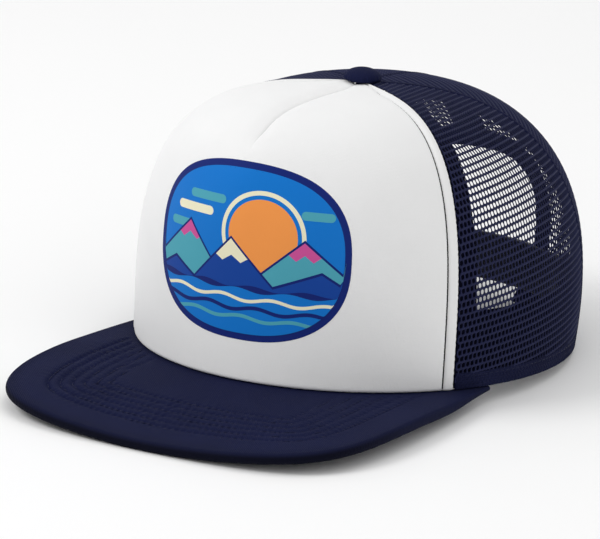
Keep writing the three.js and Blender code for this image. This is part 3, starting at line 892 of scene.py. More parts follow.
def ink(name, colour, layer, x, lower, upper):
    """One colour of the print: a thin skin on the foam between two curves."""
    inset = PRINT["border"]
    field = outline_height(x, PRINT["half_width"] - inset, PRINT["half_height"] - inset)
    if layer:
        lower = np.maximum(lower, -field)
        upper = np.minimum(upper, field)
    tall = upper - lower > 0.03
    edges = np.flatnonzero(np.diff(np.concatenate([[0], tall, [0]])))
    parts = []
    for first, last in edges.reshape(-1, 2):
        first, last = max(first - 1, 0), min(last + 1, len(x))
        low, high = lower[first:last], np.maximum(upper, lower)[first:last]
        rows = max(int((high - low).max() / 1.5), 1) + 1
        share = np.linspace(0, 1, rows)[:, None]
        across, up = np.broadcast_arrays(PRINT["across"] + x[first:last], PRINT["up"] + low + (high - low) * share)
        angle, rise = FRONT.find(across, up)
        depth = front_depth(across, up, angle, rise)
        outer = crown_point(angle, rise, depth - PRINT["thickness"] - layer * PRINT["step"])
        inner = crown_point(angle, rise, depth + PRINT["thickness"])
        parts.append(shell(name, outer, inner, np.stack([across, up], -1)))
    piece = joined(name, parts)
    return finished(piece, "ink_" + colour)


def ridge_line(x, corners):
    """A line of peaks through chosen corners."""
    return np.interp(x, [c[0] for c in corners], [c[1] for c in corners])


def make_badge():
    """The printed badge: a sun behind two ranges of hills, over a lake."""
    half_width, half_height = PRINT["half_width"], PRINT["half_height"]
    x = round_columns(0, half_width)
    height = outline_height(x, half_width, half_height)
    ink("badge_border", "outline", 0, x, -height, height)
    inset = PRINT["border"]
    x = round_columns(0, half_width - inset)
    height = outline_height(x, half_width - inset, half_height - inset)
    ink("badge_sky", "blue", 1, x, -height, height)
    sun = (9, 7)
    discs = (("badge_sun_glow", "cream", 2, 17.5), ("badge_sun_gap", "blue", 3, 15.8), ("badge_sun", "orange", 4, 14.2))
    for name, colour, layer, radius in discs:
        x = round_columns(sun[0], radius)
        height = np.sqrt(np.maximum(radius**2 - (x - sun[0]) ** 2, 0))
        ink(name, colour, layer, x, sun[1] - height, sun[1] + height)
    for number, (left, right, level, colour) in enumerate(BADGE_CLOUDS):
        x = round_columns((left + right) / 2, (right - left) / 2)
        end = np.minimum(x - left, right - x)
        thick = PRINT["cloud"]
        height = np.sqrt(np.maximum(thick**2 - np.maximum(thick - end, 0) ** 2, 0))
        ink(f"badge_cloud_{number + 1}", colour, 5, x, level - height, level + height)
    step = np.linspace(-half_width, half_width, 89)
    for number, (colour, cap_colour, caps, corners) in enumerate(BADGE_HILLS):
        x = np.union1d(step, [c[0] for c in corners])
        top = ridge_line(x, corners)
        layer = 6 + 3 * number
        ink(f"badge_hills_{number + 1}_edge", "outline", layer, x, top * 0 - half_height, top + PRINT["line"])
        ink(f"badge_hills_{number + 1}", colour, layer + 1, x, top * 0 - half_height, top)
        for place, (left, right, foot) in enumerate(caps):
            x = np.union1d(np.linspace(left, right, 33), [c[0] for c in corners if left < c[0] < right])
            top = ridge_line(x, corners)
            zigzag = foot + PRINT["zigzag"] * np.abs((x - left) / (right - left) * 4 % 2 - 1)
            name = f"badge_cap_{number + 1}_{place + 1}"
            ink(name, cap_colour, layer + 2, x, np.minimum(zigzag, top), top)
    x = np.linspace(-half_width, half_width, 133)
    for number, (colour, level, height, swell) in enumerate(BADGE_WAVES):
        wave = level + swell * np.sin(x / 3.4 + number * 1.9)
        ink(f"badge_wave_{number + 1}", colour, 12 + number, x, wave - height, wave)


def make_front_stitching():
    """The topstitching in the groove beside both seams of the front panel, near black and overlapping into one line:
    part thread, part painted groove shadow.
    """
    up = np.linspace(2, front_rows()[-1] - 3, 120)
    half, close = front_half(up)
    lines = []
    for side in (-1, 1):
        across = side * (half - SEAM["stitch_line"] * close)
        angle, rise = FRONT.find(across, up)
        depth = front_depth(across, up, angle, rise) - 0.16
        lines.append(crown_point(angle, rise, depth))
    # Overlapping stitches of near-black thread make one continuous line, the groove's painted shadow
    return stitched("front_topstitch", lines, length=2.9, radius=0.36, pitch=2.3, thread="seam_thread")


# The net panels


def net_cell():
    """One mesh of the net on the flat pattern: a rim of knitted thread round a tall hole."""
    a, b = NET["column"] / 2, NET["row"] / 2
    rim = [(a, 0), (a, b / 2), (a, b), (0, b), (-a, b), (-a, b / 2)]
    rim += [(-x, -y) for x, y in rim]
    points = []
    for x, y in rim:
        height = NET["bar"] if abs(y) == b else NET["strand"]
        turn = math.atan2(y / b, x / a)
        hole = [math.copysign(abs(t) ** 0.8, t) for t in (math.cos(turn), math.sin(turn))]
        points += [(x, y, height), (x, y, -height)]
        points.append((hole[0] * NET["hole_width"] / 2, hole[1] * NET["hole_height"] / 2, 0))
    faces = []
    count = len(rim)
    for k in range(count):
        here, after = 3 * k, 3 * ((k + 1) % count)
        faces.append((here, after, after + 2, here + 2))
        faces.append((here + 1, here + 2, after + 2, after + 1))
    return new_object("net_cell", np.array(points) * MM, faces)


def opening_leg(height, margin):
    """Half the opening's width below its arch, where its legs lean in to the rim."""
    spread = OPENING["half_width"] - OPENING["foot_half_width"]
    lean = np.sin(math.pi / 2 * np.clip(height / OPENING["spring"], 0, 1))
    return OPENING["foot_half_width"] + margin + spread * lean


def inside_opening(points, margin):
    """Whether points of the back wall lie in the half-moon opening, grown by a margin."""
    x, z = np.abs(points[..., 0]), points[..., 2]
    power = OPENING["squareness"]
    over = np.clip((z - OPENING["spring"]) / (OPENING["top"] - OPENING["spring"] + margin), 0, 1)
    half = opening_leg(z, margin) * (1 - over**power) ** (1 / power)
    return (x < half) & (points[..., 1] > 0)


def net_surface(pattern):
    """The cloth that one net panel is cut from, with its flat pattern and its outward direction."""
    top = rise_at_radius(np.array((pattern.first + pattern.last) / 2), BUTTON["shank_radius"] + 1)
    rise = np.linspace(0.004, float(top), 96)[:, None]
    angle = np.linspace(pattern.first, pattern.last, 64)[None, :]
    points = crown_point(angle, rise, NET["depth"])
    rows, columns = points.shape[:2]
    quads = grid_quads(rows, columns)
    middle = points.reshape(-1, 3)[quads].mean(axis=1)
    quads = quads[~inside_opening(middle, OPENING["binding"] * 0.4)]
    flat = pattern.flat(angle, rise).reshape(-1, 2) * MM
    surface = new_object("net_surface", placed(points.reshape(-1, 3)), quads, flat)
    facing = surface.data.attributes.new("facing", "FLOAT_VECTOR", "POINT")
    normals = surface_normal(*np.broadcast_arrays(angle, rise)).reshape(-1, 3)
    facing.data.foreach_set("vector", turned(normals).astype(np.float32).ravel())
    return surface


def make_net_panel(name, node, first, last, slope):
    pattern = Pattern(first, last)
    cell = net_cell()
    surface = net_surface(pattern)
    width = 2 * float(np.abs(pattern.across).max()) + 4 * NET["column"]
    height = float(pattern.up[-1]) + width * abs(slope)
    net = grown(
        name,
        KNITTED_NET,
        "net",
        Surface=surface,
        Cell=cell,
        Columns=math.ceil(width / NET["column"]),
        Rows=math.ceil(height / NET["row"]),
        Column_pitch=NET["column"] * MM,
        Row_pitch=NET["row"] * MM,
        Row_slope=slope,
        Foot=-width / 2 * abs(slope) * MM,
    )
    bpy.data.objects.remove(surface)
    bpy.data.objects.remove(cell)
    return finished(net, "net", [node])


def make_net():
    front, back = CROWN["front_seam"], CROWN["back_seam"]
    slope = NET_SLOPE
    make_net_panel("net_side_left", "mesh_side_left", front, back, slope["side"])
    make_net_panel("net_side_right", "mesh_side_right", -back, -front, -slope["side"])
    make_net_panel("net_back_left", "mesh_back_left", back, 180, slope["back"])
    make_net_panel("net_back_right", "mesh_back_right", 180, 360 - back, -slope["back"])


# Folds, hems, tapes and the sweatband, all strips that follow the crown


def strip_shell(name, angle, rise, outer_depth, thickness, gap, rim, flat):
    """A closed strip of cloth on a grid of angles and rises, its rims rolled over."""
    rolled = rim_round(gap, rim) * thickness / 2
    outer = crown_point(angle, rise, outer_depth + rolled)
    inner = crown_point(angle, rise, outer_depth + thickness - rolled)
    return shell(name, outer, inner, flat)


def lining_depth(angle, rise):
    """Depth at which a piece lies against the inside of the wall, foam or net."""
    gap = (rad(CROWN["front_seam"]) - np.abs(angle)) * axis_distance(surface_point(angle, rise))
    return foam_thickness(gap) + CLEARANCE


def seam_strip(name, seam, foot, end_radius, width, depth_at, thickness, rim):
    """A strip of cloth that runs up over a seam, from a height to a distance from the button."""
    centre = rad(seam)
    start = float(rise_at_height(np.array(centre), foot))
    end = float(rise_at_radius(np.array(centre), end_radius))
    rise = np.linspace(start, end, 80)[:, None]
    across = spaced(width, 2.0, rim)[None, :] - width / 2
    line = surface_point(centre, rise[:, 0])
    angle = centre + across / axis_distance(line)[:, None]
    angle, rise = np.broadcast_arrays(angle, rise)
    climb = np.linalg.norm(np.diff(line, axis=0), axis=-1)
    up = np.concatenate([[0], np.cumsum(climb)])[:, None]
    gap = np.minimum(width / 2 - np.abs(across), np.minimum(up, up[-1] - up))
    flat = np.stack(np.broadcast_arrays(across, up), -1)
    return strip_shell(name, angle, rise, depth_at(angle, rise), thickness, gap, rim, flat)


def tape_edges(seam, foot, end_radius, width, depth_at):
    """Lines just inside both edges of a seam tape, on its inner face."""
    centre = rad(seam)
    start = float(rise_at_height(np.array(centre), foot + 2))
    end = float(rise_at_radius(np.array(centre), end_radius + 2))
    rise = np.linspace(start, end, 90)
    radius = axis_distance(surface_point(centre, rise))
    lines = []
    for side in (-1, 1):
        angle = centre + side * (width / 2 - 1.5) / radius
        lines.append(crown_point(angle, rise, depth_at(angle, rise) + TAPE["thickness"]))
    return lines


def tape_end_radius():
    closest = min(CROWN["back_seam"] - CROWN["front_seam"], 180 - CROWN["back_seam"])
    return (TAPE["width"] + TAPE["end_gap"]) / rad(closest)


def make_tapes():
    above_band = SWEATBAND["height"] + SEWN_GAP
    above_opening = OPENING["top"] + OPENING["binding"] + 4 * CLEARANCE
    front, back = CROWN["front_seam"], CROWN["back_seam"]
    places = {
        "tape_front_left": (front, above_band),
        "tape_front_right": (-front, above_band),
        "tape_side_left": (back, above_band),
        "tape_side_right": (-back, above_band),
        "tape_back": (180, above_opening),
    }
    lines = []
    for node, (seam, foot) in places.items():
        shape = (seam, foot, tape_end_radius(), TAPE["width"], lining_depth)
        tape = seam_strip("seam_" + node, *shape, TAPE["thickness"], 0.4)
        finished(tape, "tape", [node])
        lines.extend(tape_edges(*shape))
    stitched("tape_stitching", lines)


def make_seam_folds():
    """The narrow turned edges of the net where two of its panels meet."""
    back = CROWN["back_seam"]
    width, proud = NET_FOLD["width"], NET_FOLD["proud"]
    thickness = NET_THICKNESS + 2 * proud
    foot = {back: 1.0, -back: 1.0, 180: OPENING["top"] + OPENING["binding"] - 1.5}
    names = {back: "net_seam_left", -back: "net_seam_right", 180: "net_seam_back"}
    for seam, name in names.items():
        shape = (seam, foot[seam], BUTTON["shank_radius"] + 1.2, width)
        fold = seam_strip(name, *shape, lambda a, r: np.full(np.shape(a), -proud), thickness, 0.6)
        finished(fold, "net_cloth")


def hem_grid(first, last, height, step, rows):
    """Angles and rises of a band along the rim, and distances along and above it."""
    count = round(abs(last - first) * 90 / step)
    angle = np.linspace(first, last, count)
    above = spaced(height, rows, 0.5)[:, None]
    rise = rise_where(
        np.broadcast_to(angle, (above.size, count)),
        lambda p: p[..., 2] - rim_height(p[..., 1]) < above,
    )
    rim = surface_point(angle, 0)
    along = np.concatenate([[0], np.cumsum(np.linalg.norm(np.diff(rim, axis=0), axis=-1))])
    return np.broadcast_to(angle, rise.shape), rise, np.broadcast_to(along, rise.shape), above


def back_angle(half_span):
    return math.pi - math.asin(half_span / CROWN["half_width"])


def make_hems():
    """The turned hem along the lower edge of the net, from the front seam to the binding."""
    lines = []
    for side, name in ((1, "net_hem_left"), (-1, "net_hem_right")):
        first = rad(CROWN["front_seam"]) + 0.6 / CROWN["half_width"]
        last = back_angle(OPENING["foot_half_width"] + OPENING["binding"] - 1)
        angle, rise, along, above = hem_grid(side * first, side * last, HEM["height"], step=0.4, rows=0.5)
        gap = np.minimum(np.minimum(above, HEM["height"] - above), np.minimum(along, along[:, -1:] - along))
        proud = NET_FOLD["proud"]
        row = np.round(above / NET["row"] - 0.5)
        across = (along / NET["column"] + row / 2 + 0.5) % 1 - 0.5
        off = (above / NET["row"] - 0.5 - row) * NET["row"]
        dimple = np.exp(-((across * NET["column"] / 0.5) ** 2) - (off / 0.8) ** 2)
        depth = -proud + HEM["dimple"] * dimple
        flat = np.stack(np.broadcast_arrays(along, above), -1)
        hem = strip_shell(name, angle, rise, depth, NET_THICKNESS + 2 * proud, gap, 0.6, flat)
        finished(hem, "net_cloth")
        line_angle = angle[0, 12:-12:3]
        line_rise = rise_where(line_angle, lambda p: p[..., 2] - rim_height(p[..., 1]) < HEM["height"] - 1.2)
        lines.append(crown_point(line_angle, line_rise, 0.1 - proud))
    stitched("hem_stitching", lines, radius=0.16)


def make_sweatband():
    end = back_angle(STRAP["root"] + SEWN_GAP)
    angle, rise, along, above = hem_grid(-end, end, SWEATBAND["height"], step=2.0, rows=1.2)
    gap = np.minimum(np.minimum(above, SWEATBAND["height"] - above), np.minimum(along, along[:, -1:] - along))
    depth = lining_depth(angle, rise)
    flat = np.stack(np.broadcast_arrays(along, above), -1)
    band = strip_shell("sweatband_cloth", angle, rise, depth, SWEATBAND["thickness"], gap, 0.6, flat)
    finished(band, "lining", ["sweatband"])
    lines = []
    for height in (2.2, SWEATBAND["height"] - 2.2):
        line_rise = rise_where(angle[0, 4:-4], lambda p: p[..., 2] - rim_height(p[..., 1]) < height)
        inner = lining_depth(angle[0, 4:-4], line_rise) + SWEATBAND["thickness"]
        lines.append(crown_point(angle[0, 4:-4], line_rise, inner))
    stitched("sweatband_stitching", lines)


# The opening at the back and its strap


def arch_points(margin, count):
    """The half-moon outline grown by a margin: x, height and distance along it."""
    half = OPENING["half_width"] + margin
    tall = OPENING["top"] - OPENING["spring"] + margin
    power = 2 / OPENING["squareness"]
    turn = np.linspace(0, math.pi, 600)[1:-1]
    legs = np.linspace(0, OPENING["spring"], 60)
    leg = opening_leg(legs, margin)
    x = np.concatenate([leg, half * np.sign(np.cos(turn)) * np.abs(np.cos(turn)) ** power, -leg[::-1]])
    z = np.concatenate([legs, OPENING["spring"] + tall * np.sin(turn) ** power, legs[::-1]])
    along = np.concatenate([[0], np.cumsum(np.hypot(np.diff(x), np.diff(z)))])
    share = np.linspace(0, 1, count)
    return np.interp(share, along / along[-1], x), np.interp(share, along / along[-1], z), share * along[-1]


def make_binding():
    """The cloth binding folded round the edge of the opening."""
    width = OPENING["binding"]
    across = spaced(width, 0.7, 0.9, turns=6)
    count = 190
    inner_x, inner_z, along = arch_points(0, count)
    outer_x, outer_z, _ = arch_points(width, count)
    share = (across / width)[:, None]
    x = inner_x * (1 - share) + outer_x * share
    height = inner_z * (1 - share) + outer_z * share
    foot = rim_height(back_point(x[:, 0], 0.0, 0.0)[..., 1])
    height = np.maximum(height, foot[:, None])
    gap = np.minimum(across, width - across)[:, None]
    end = np.minimum(along, along[-1] - along)[None, :]
    rolled = np.maximum(rim_round(gap, 0.9), rim_round(end, 0.5))
    ripple = 0.05 * np.sin(along / 1.9)[None, :] * np.sin(math.pi * share)
    half = (NET_THICKNESS + OPENING["proud"]) / 2
    middle = NET_THICKNESS - half
    outer = back_point(x, height, middle - half * (1 - rolled) + ripple)
    inner = back_point(x, height, middle + half * (1 - rolled))
    flat = np.stack(np.broadcast_arrays(along[None, :], across[:, None]), -1)
    binding = shell("opening_binding_cloth", outer, inner, flat)
    finished(binding, "navy_cloth", ["opening_binding"])
    lines = []
    for margin in (1.6, width - 1.4):
        line_x, line_z, _ = arch_points(margin, 160)
        lines.append(back_point(line_x[4:-4], line_z[4:-4] + 0.5, -OPENING["proud"] - 0.02))
    stitched("binding_stitching", lines)


STRAP_DEPTH = FOAM["edge"] + CLEARANCE
PEG_DEPTH = STRAP_DEPTH + STRAP["thickness"] + CLEARANCE
STRAP_MIDDLE = STRAP["foot"] + STRAP["height"] / 2


def strap_slab(name, root_side, depth_at):
    """One half of the strap: a plastic band with rounded edges and a rounded free end."""
    length = STRAP["free"] + STRAP["root"]
    from_end = spaced(length, 0.9, 0.4)[None, :]
    share = spaced(STRAP["height"], 0.9, 0.4)[:, None] / STRAP["height"]
    short = np.maximum(STRAP["end_radius"] - from_end, 0)
    corner = STRAP["end_radius"] - np.sqrt(STRAP["end_radius"] ** 2 - short**2)
    half = STRAP["height"] / 2 - corner
    x = root_side * (from_end - STRAP["free"])
    height = STRAP_MIDDLE + (2 * share - 1) * half
    x, height = np.broadcast_arrays(x, height)
    gap = np.minimum(half - np.abs(height - STRAP_MIDDLE), np.minimum(from_end, length - from_end))
    rolled = rim_round(gap, 0.5) * STRAP["thickness"] / 2
    border = STRAP_EDGE["raised"] * (1 - smooth(gap, STRAP_EDGE["width"], STRAP_EDGE["width"] + 0.4))
    outer_depth = depth_at(root_side * x) + STRAP_EDGE["raised"] - border + rolled
    outer = back_point(x, height, outer_depth)
    inner = back_point(x, height, depth_at(root_side * x) + STRAP["thickness"] - rolled)
    flat = np.stack([x, height], -1)
    return shell(name, outer, inner, flat)


def wall_lathe(name, x, profile, sides=28):
    """A round body on the wall's normal at the strap's middle, from pairs of radius and depth."""
    foot = back_point(x, STRAP_MIDDLE, 0.0)
    normal = foot - back_point(x, STRAP_MIDDLE, 1.0)
    along = back_point(x + 1, STRAP_MIDDLE, 0.0) - foot
    along -= normal * (along @ normal)
    along /= np.linalg.norm(along)
    up = np.cross(normal, along)
    turn = 2 * math.pi * np.arange(sides) / sides
    circle = np.cos(turn)[:, None] * along + np.sin(turn)[:, None] * up
    rings = np.stack([foot - normal * depth + circle * radius for radius, depth in profile])
    faces = []
    for i in range(len(profile) - 1):
        for k in range(sides):
            a, b = i * sides + k, i * sides + (k + 1) % sides
            faces.append((a, b, b + sides, a + sides))
    last = (len(profile) - 1) * sides
    faces.append(tuple(range(sides)))
    faces.append(tuple(range(last, last + sides)))
    return closed_smooth(new_object(name, placed(rings.reshape(-1, 3)), faces), weld=0.0001)


def snap_places():
    return [(place - (SNAP["count"] - 1) / 2) * SNAP["pitch"] for place in range(SNAP["count"])]


def make_strap_holes():
    """The outer half of the strap, with a raised border along its edges and its holes cut through it."""
    band = strap_slab("strap_outer_half", -1, lambda x: np.full(np.shape(x), STRAP_DEPTH))
    hole = SNAP["peg_radius"] + CLEARANCE
    drills = [wall_lathe("drill", x, [(hole, 0), (hole, PEG_DEPTH + 2)]) for x in snap_places()]
    drill = joined("drills", drills)
    cut = band.modifiers.new("holes", "BOOLEAN")
    cut.operation = "DIFFERENCE"
    cut.object = drill
    evaluated = band.evaluated_get(bpy.context.evaluated_depsgraph_get())
    mesh = bpy.data.meshes.new_from_object(evaluated)
    band.modifiers.clear()
    band.data = mesh
    bpy.data.objects.remove(drill)
    mesh.set_sharp_from_angle(angle=rad(50))
    finished(band, "plastic", ["strap_holes"])


def make_strap_pegs():
    """The inner half of the strap, whose pegs end in heads outside the holes."""

    def depth_at(x):
        free = STRAP["free"] + STRAP["end_radius"] / 2
        share = smooth(x, free, STRAP["root"] - STRAP["root_flat"])
        return PEG_DEPTH * (1 - share) + STRAP_DEPTH * share

    parts = [strap_slab("strap_inner_half", 1, depth_at)]
    head = STRAP_DEPTH - CLEARANCE
    radius, peg = SNAP["head_radius"], SNAP["peg_radius"]
    top = head - SNAP["head_thickness"]
    turn = np.linspace(0, math.pi / 2, 7)
    dome = [(radius * math.sin(t), top + SNAP["head_thickness"] * 0.8 * (1 - math.cos(t))) for t in turn[1:]]
    profile = [(radius * 0.02, top)] + dome + [(radius, head - 0.1), (radius - 0.1, head), (peg, head)]
    profile += [(peg, PEG_DEPTH + STRAP["thickness"] / 2)]
    for x in snap_places():
        parts.append(wall_lathe("peg", x, profile))
    pegs = joined("strap_inner_half", parts)
    finished(pegs, "plastic", ["strap_pegs"])


# The peak


def bezier(points, t):
    a, b, c, d = (np.array(p, float) for p in points)
    t = t[:, None]
    return a * (1 - t) ** 3 + 3 * b * t * (1 - t) ** 2 + 3 * c * t**2 * (1 - t) + d * t**3


def peak_outline():
    """Points of the peak's plan outline, even along it, from the front to the left corner."""
    corner = surface_point(rad(PEAK["corner_angle"]), 0.0)[:2]
    half = CROWN["half_width"] - PEAK["inset"]
    front = -(CROWN["half_length"] + PEAK["reach"])
    side = front + PEAK["widest_back"]
    turn = rad(PEAK_CURVE["corner_turn"])
    rear = corner[1] - side
    handle = rear * PEAK_CURVE["corner"] * np.array([math.sin(turn), -math.cos(turn)])
    t = np.linspace(0, 1, 400)
    fore = [(0, front), (half * PEAK_CURVE["front"], front)]
    fore += [(half, side - PEAK["widest_back"] * PEAK_CURVE["side"]), (half, side)]
    aft = [(half, side), (half, side + rear * PEAK_CURVE["rear"]), corner + handle, corner]
    line = np.concatenate([bezier(fore, t), bezier(aft, t)[1:]])
    along = np.concatenate([[0], np.cumsum(np.linalg.norm(np.diff(line, axis=0), axis=1))])
    even = np.linspace(0, along[-1], 600)
    return np.stack([np.interp(even, along, line[:, i]) for i in (0, 1)], -1), along[-1]


PEAK_EDGE, PEAK_EDGE_LENGTH = peak_outline()
PEAK_SHARES = np.linspace(0, 1, len(PEAK_EDGE))


def peak_section(share):
    """For sections from front (0) to corner (1): inner point, outward direction, length and drop."""
    edge = np.stack([np.interp(share, PEAK_SHARES, PEAK_EDGE[:, i]) for i in (0, 1)], -1)
    inner = crown_point(rad(PEAK["corner_angle"]) * share, np.zeros_like(share), PEAK["tuck"])[..., :2]
    outward = edge - inner
    length = np.linalg.norm(outward, axis=-1, keepdims=True)
    drop = PEAK["droop"] * (1 - smooth(share, 0, PEAK["level_share"]))
    return inner, outward / length, length[..., 0], drop


def edge_distance(points):
    """Distance in plan from the peak's outline and place along it, for points with x not below zero."""
    away, along = np.empty(len(points)), np.empty(len(points))
    step = PEAK_EDGE_LENGTH / (len(PEAK_EDGE) - 1)
    for start in range(0, len(points), 4000):
        part = slice(start, start + 4000)
        square = ((points[part, None, :] - PEAK_EDGE[None, :, :]) ** 2).sum(-1)
        nearest = square.argmin(1)
        middle = np.clip(nearest, 1, len(PEAK_EDGE) - 2)
        before, here, after = (np.take_along_axis(square, (middle + k)[:, None], 1)[:, 0] for k in (-1, 0, 1))
        lean = (before - after) / (2 * np.maximum(before - 2 * here + after, 1e-9))
        away[part] = np.sqrt(square.min(1))
        along[part] = (middle + np.clip(lean, -1, 1)) * step
    return away, along


def quilt_depth(plan):
    """Depth of the stitched rows that follow the peak's edge, with dents and puckers between them."""
    folded = np.abs(plan[..., 0])
    points = np.stack([folded, plan[..., 1]], -1).reshape(-1, 2)
    distance, along = (found.reshape(folded.shape) for found in edge_distance(points))
    turn = np.arctan2(plan[..., 0], -plan[..., 1] - CROWN["half_length"] / 2)
    strength = 0.75 - 0.25 * np.sin(turn)
    depth = np.zeros(folded.shape)
    for row in range(QUILT["rows"]):
        away = distance - QUILT["first"] - row * QUILT["pitch"]
        dents = 1 - QUILT["dent"] * np.cos(2 * math.pi * along / STITCH["pitch"] + 2.4 * row)
        depth += QUILT["depth"] * dents * np.exp(-((away / QUILT["half_width"]) ** 2)) * (1 - 0.08 * row)
    beyond = np.hypot(plan[..., 0] / CROWN["half_width"], plan[..., 1] / CROWN["half_length"]) - 1
    strength *= smooth(beyond * CROWN["half_length"], 0.5, 4.5)
    middle = QUILT["first"] + (QUILT["rows"] - 1) * QUILT["pitch"] / 2
    zone = np.exp(-(((distance - middle) / 16) ** 4))
    slant = 2 * math.pi * (along / QUILT["pucker_pitch"] + distance / 11)
    pucker = np.sin(slant) * (0.6 + 0.4 * np.sin(along / 7.1 + 1.3)) + 0.5 * np.sin(along / 3.7 - distance / 4.1)
    return (depth + QUILT["pucker"] * zone * pucker) * strength


def peak_columns(length):
    """Distances outwards over the peak, close together under the quilting, for sections of some lengths."""
    quilted = QUILT["first"] - 4
    inner = QUILT["first"] + QUILT["rows"] * QUILT["pitch"] + 2
    marks = np.stack([0 * length, np.minimum(quilted, length * 0.25), np.minimum(inner, length * 0.75), length], -1)
    places = np.concatenate([np.linspace(k, k + 1, n + 1)[1:] for k, n in enumerate((6, 56, 10))])
    shares = np.concatenate([[0.0], places])
    whole = np.minimum(np.floor(shares).astype(int), 2)
    part = shares - whole
    from_edge = marks[:, whole] * (1 - part) + marks[:, whole + 1] * part
    return (length[:, None] - from_edge)[:, ::-1]


def make_peak():
    sections = 561
    share = np.abs(np.linspace(-1, 1, sections))
    mirror = np.sign(np.linspace(-1, 1, sections))
    inner, outward, length, drop = peak_section(share)
    thickness = PEAK["thickness"] + (PEAK["corner_thickness"] - PEAK["thickness"]) * smooth(
        share, PEAK["thin_from"], 1
    )
    flat_length = np.maximum(length - thickness / 2, length / 2)
    top_distance = peak_columns(flat_length)
    turn = np.linspace(0, math.pi, 13)[None, 1:-1]
    reach = (length - flat_length)[:, None]
    lip_distance = flat_length[:, None] + np.sin(turn) * reach
    under_distance = top_distance[:, ::-2]
    distance = np.concatenate([top_distance, lip_distance, under_distance], axis=1)
    lip_sunk = (1 - np.cos(turn)) / 2 * thickness[:, None]
    sunk = np.concatenate([0 * top_distance, lip_sunk, 0 * under_distance + thickness[:, None]], axis=1)
    plan = inner[:, None, :] + outward[:, None, :] * distance[..., None]
    plan[..., 0] *= mirror[:, None]
    top = -CLEARANCE - drop[:, None] * np.minimum(distance / length[:, None], (flat_length / length)[:, None])
    side = 1 - 2 * sunk / thickness[:, None]
    z = top - sunk - side * quilt_depth(plan)
    points = np.concatenate([plan, z[..., None]], -1)
    around = points.shape[1]
    faces = []
    for i in range(sections - 1):
        for k in range(around):
            a, b = i * around + k, i * around + (k + 1) % around
            faces.append((a, b, b + around, a + around))
    for i in (0, sections - 1):
        faces.append(tuple(range(i * around, (i + 1) * around)))
    peak = new_object("peak_cloth", placed(points.reshape(-1, 3)), faces, plan.reshape(-1, 2) * MM)
    # Painted shade: the peak's top darkens towards its edge, and the lip and underside are painted dark, less so
    # towards the corners
    near_edge = smooth(distance, flat_length[:, None] - 6, flat_length[:, None] + 1)
    shade = 0.3 * near_edge + 0.7 * smooth(sunk / thickness[:, None], 0, 0.4)
    shade = shade * (1 - 0.6 * smooth(share, 0.4, 0.75)[:, None])
    underside = peak.data.attributes.new("underside", "FLOAT", "POINT")
    underside.data.foreach_set("value", shade.astype(np.float32).ravel())
    finished(closed_smooth(peak), "peak_cloth", ["peak"])


def peak_top(plan):
    """Height of the peak's smooth top at points of its plan."""
    x, y = np.abs(plan[:, 0]), plan[:, 1]
    low, high = np.zeros(len(x)), np.ones(len(x))
    for _ in range(26):
        middle = (low + high) / 2
        inner, outward, length, drop = peak_section(middle)
        off = outward[:, 0] * (y - inner[:, 1]) - outward[:, 1] * (x - inner[:, 0])
        low = np.where(off > 0, middle, low)
        high = np.where(off > 0, high, middle)
    inner, outward, length, drop = peak_section(low)
    distance = (x - inner[:, 0]) * outward[:, 0] + (y - inner[:, 1]) * outward[:, 1]
    return -CLEARANCE - drop * distance / length, distance


def make_quilting():
    """The rows of stitches on both faces of the peak."""
    tangent = np.gradient(PEAK_EDGE, axis=0)
    tangent /= np.linalg.norm(tangent, axis=1, keepdims=True)
    inward = np.stack([-tangent[:, 1], tangent[:, 0]], -1)
    upper, lower = [], []
    for row in range(QUILT["rows"]):
        half = PEAK_EDGE + inward * (QUILT["first"] + row * QUILT["pitch"])
        half = half[half[:, 0] >= 0]
        line = np.concatenate([half[::-1] * [-1, 1], half])
        z, distance = peak_top(line)
        depth = quilt_depth(line)
        shown = distance > PEAK["tuck"] + 2.2
        points = np.column_stack([line, z])
        upper.append((points - np.column_stack([0 * line, depth]))[shown])
        lower.append((points - np.column_stack([0 * line, PEAK["thickness"] - depth]))[shown])
    stitched("peak_stitches_top", upper, radius=QUILT["stitch"])
    stitched("peak_stitches_under", lower, radius=QUILT["stitch"])


# The button


def make_button():
    """The covered button: a dome gathered underneath, on its shank."""
    seat = CROWN["height"] + CLEARANCE
    radius, lip = BUTTON["radius"], BUTTON["lip"]
    profile = [(0.01, seat - 3.5), (BUTTON["shank_radius"], seat - 3.5), (BUTTON["shank_radius"], seat)]
    profile += [(r, seat) for r in np.linspace(BUTTON["shank_radius"] + 0.5, radius - lip, 6)]
    for turn in np.linspace(-math.pi / 2, 0, 7)[1:]:
        profile.append((radius - lip + lip * math.cos(turn), seat + lip + lip * math.sin(turn)))
    for turn in np.linspace(0, math.pi / 2, 22)[1:]:
        z = seat + lip + (BUTTON["height"] - lip) * math.sin(turn)
        profile.append((max(radius * math.cos(turn), 0.01), z))
    sides = 120
    angle = 2 * math.pi * np.arange(sides) / sides
    points = []
    for r, z in profile:
        share = r / radius
        low = 1 - smooth(z, seat + lip, seat + BUTTON["height"] * 0.75)
        fold = 0.11 * low * share**4 * (np.cos(angle * 17) + 0.6 * np.cos(angle * 26 + 1))
        dent = -0.05 * np.cos(angle * 3 + 0.4) * share
        reach = r + fold + dent * low
        points.append(np.stack([reach * np.cos(angle), reach * np.sin(angle) - CROWN["button_forward"], z + 0 * angle], -1))
    points = np.array(points).reshape(-1, 3)
    faces = []
    for i in range(len(profile) - 1):
        for k in range(sides):
            a, b = i * sides + k, i * sides + (k + 1) % sides
            faces.append((a, b, b + sides, a + sides))
    faces.append(tuple(range(sides)))
    faces.append(tuple(range((len(profile) - 1) * sides, len(profile) * sides)))
    button = new_object("button_cloth", placed(points), faces, points[:, :2] * MM)
    finished(closed_smooth(button, weld=0.0001), "navy_cloth", ["button"])


# Camera, light and floor

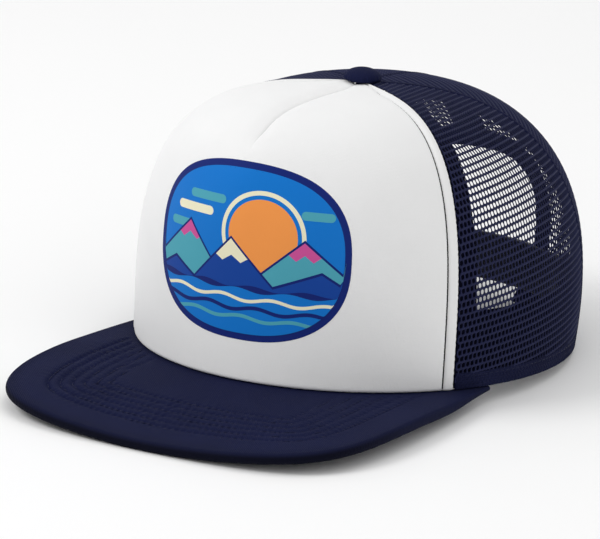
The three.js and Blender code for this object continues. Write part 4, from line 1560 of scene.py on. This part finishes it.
# The photograph's camera, in the hat's own frame: degrees, millimetres and pixels of a 600 wide frame
VIEW = dict(azimuth=29.734, elevation=13.216, roll=3.114, distance=1700, scale=2.498, across=-22.112, up=25.782)
FRAME_WIDTH = 600
SENSOR = 36


def make_camera():
    azimuth, elevation, roll = (rad(VIEW[key]) for key in ("azimuth", "elevation", "roll"))
    flat = math.cos(elevation)
    back = np.array([math.sin(azimuth) * flat, -math.cos(azimuth) * flat, math.sin(elevation)])
    level = np.array([math.cos(azimuth), math.sin(azimuth), 0])
    upright = np.cross(back, level)
    right = math.cos(roll) * level + math.sin(roll) * upright
    up = math.cos(roll) * upright - math.sin(roll) * level
    place = right * VIEW["across"] + up * VIEW["up"] + back * VIEW["distance"]
    data = bpy.data.cameras.new("camera")
    data.sensor_width = SENSOR
    data.lens = VIEW["scale"] * VIEW["distance"] / FRAME_WIDTH * SENSOR
    data.clip_end = 50
    camera = bpy.data.objects.new("camera", data)
    bpy.context.scene.collection.objects.link(camera)
    axes = [Vector(turned(axis)) for axis in (right, up, back)]
    turn = Matrix(axes).transposed().to_4x4()
    camera.matrix_world = Matrix.Translation(Vector(placed(place))) @ turn
    bpy.context.scene.camera = camera


def area_light(name, place, target, size, power):
    data = bpy.data.lights.new(name, "AREA")
    data.shape = "DISK"
    data.size = size
    data.energy = power
    light = bpy.data.objects.new(name, data)
    bpy.context.scene.collection.objects.link(light)
    light.location = place
    light.rotation_euler = (Vector(target) - Vector(place)).to_track_quat("-Z", "Y").to_euler()


def make_studio():
    world = bpy.data.worlds.new("studio")
    world.use_nodes = True
    world.node_tree.nodes["Background"].inputs["Color"].default_value = (1, 1, 1, 1)
    world.node_tree.nodes["Background"].inputs["Strength"].default_value = 0.72
    bpy.context.scene.world = world
    bpy.context.scene.view_settings.view_transform = "Standard"
    middle = (0, 0, 0.06)
    area_light("key", (-1.1, -0.9, 1.5), middle, 0.9, 13)
    area_light("fill", (1.4, -1.2, 0.9), middle, 1.2, 2)
    area_light("top", (0.1, 0.6, 1.8), middle, 1.2, 5)
    size = 4.0
    floor = new_object(
        "floor", [(-size, -size, 0), (size, -size, 0), (size, size, 0), (-size, size, 0)], [(0, 1, 2, 3)]
    )
    floor.data.materials.append(grained("pale floor", (0.93, 0.93, 0.93), 0.7, 0.5, 0.01, spread=0.01))


make_front_panel()
make_front_stitching()
make_badge()
make_net()
make_seam_folds()
make_hems()
make_tapes()
make_sweatband()
make_binding()
make_strap_holes()
make_strap_pegs()
make_peak()
make_quilting()
make_button()
make_camera()
make_studio()
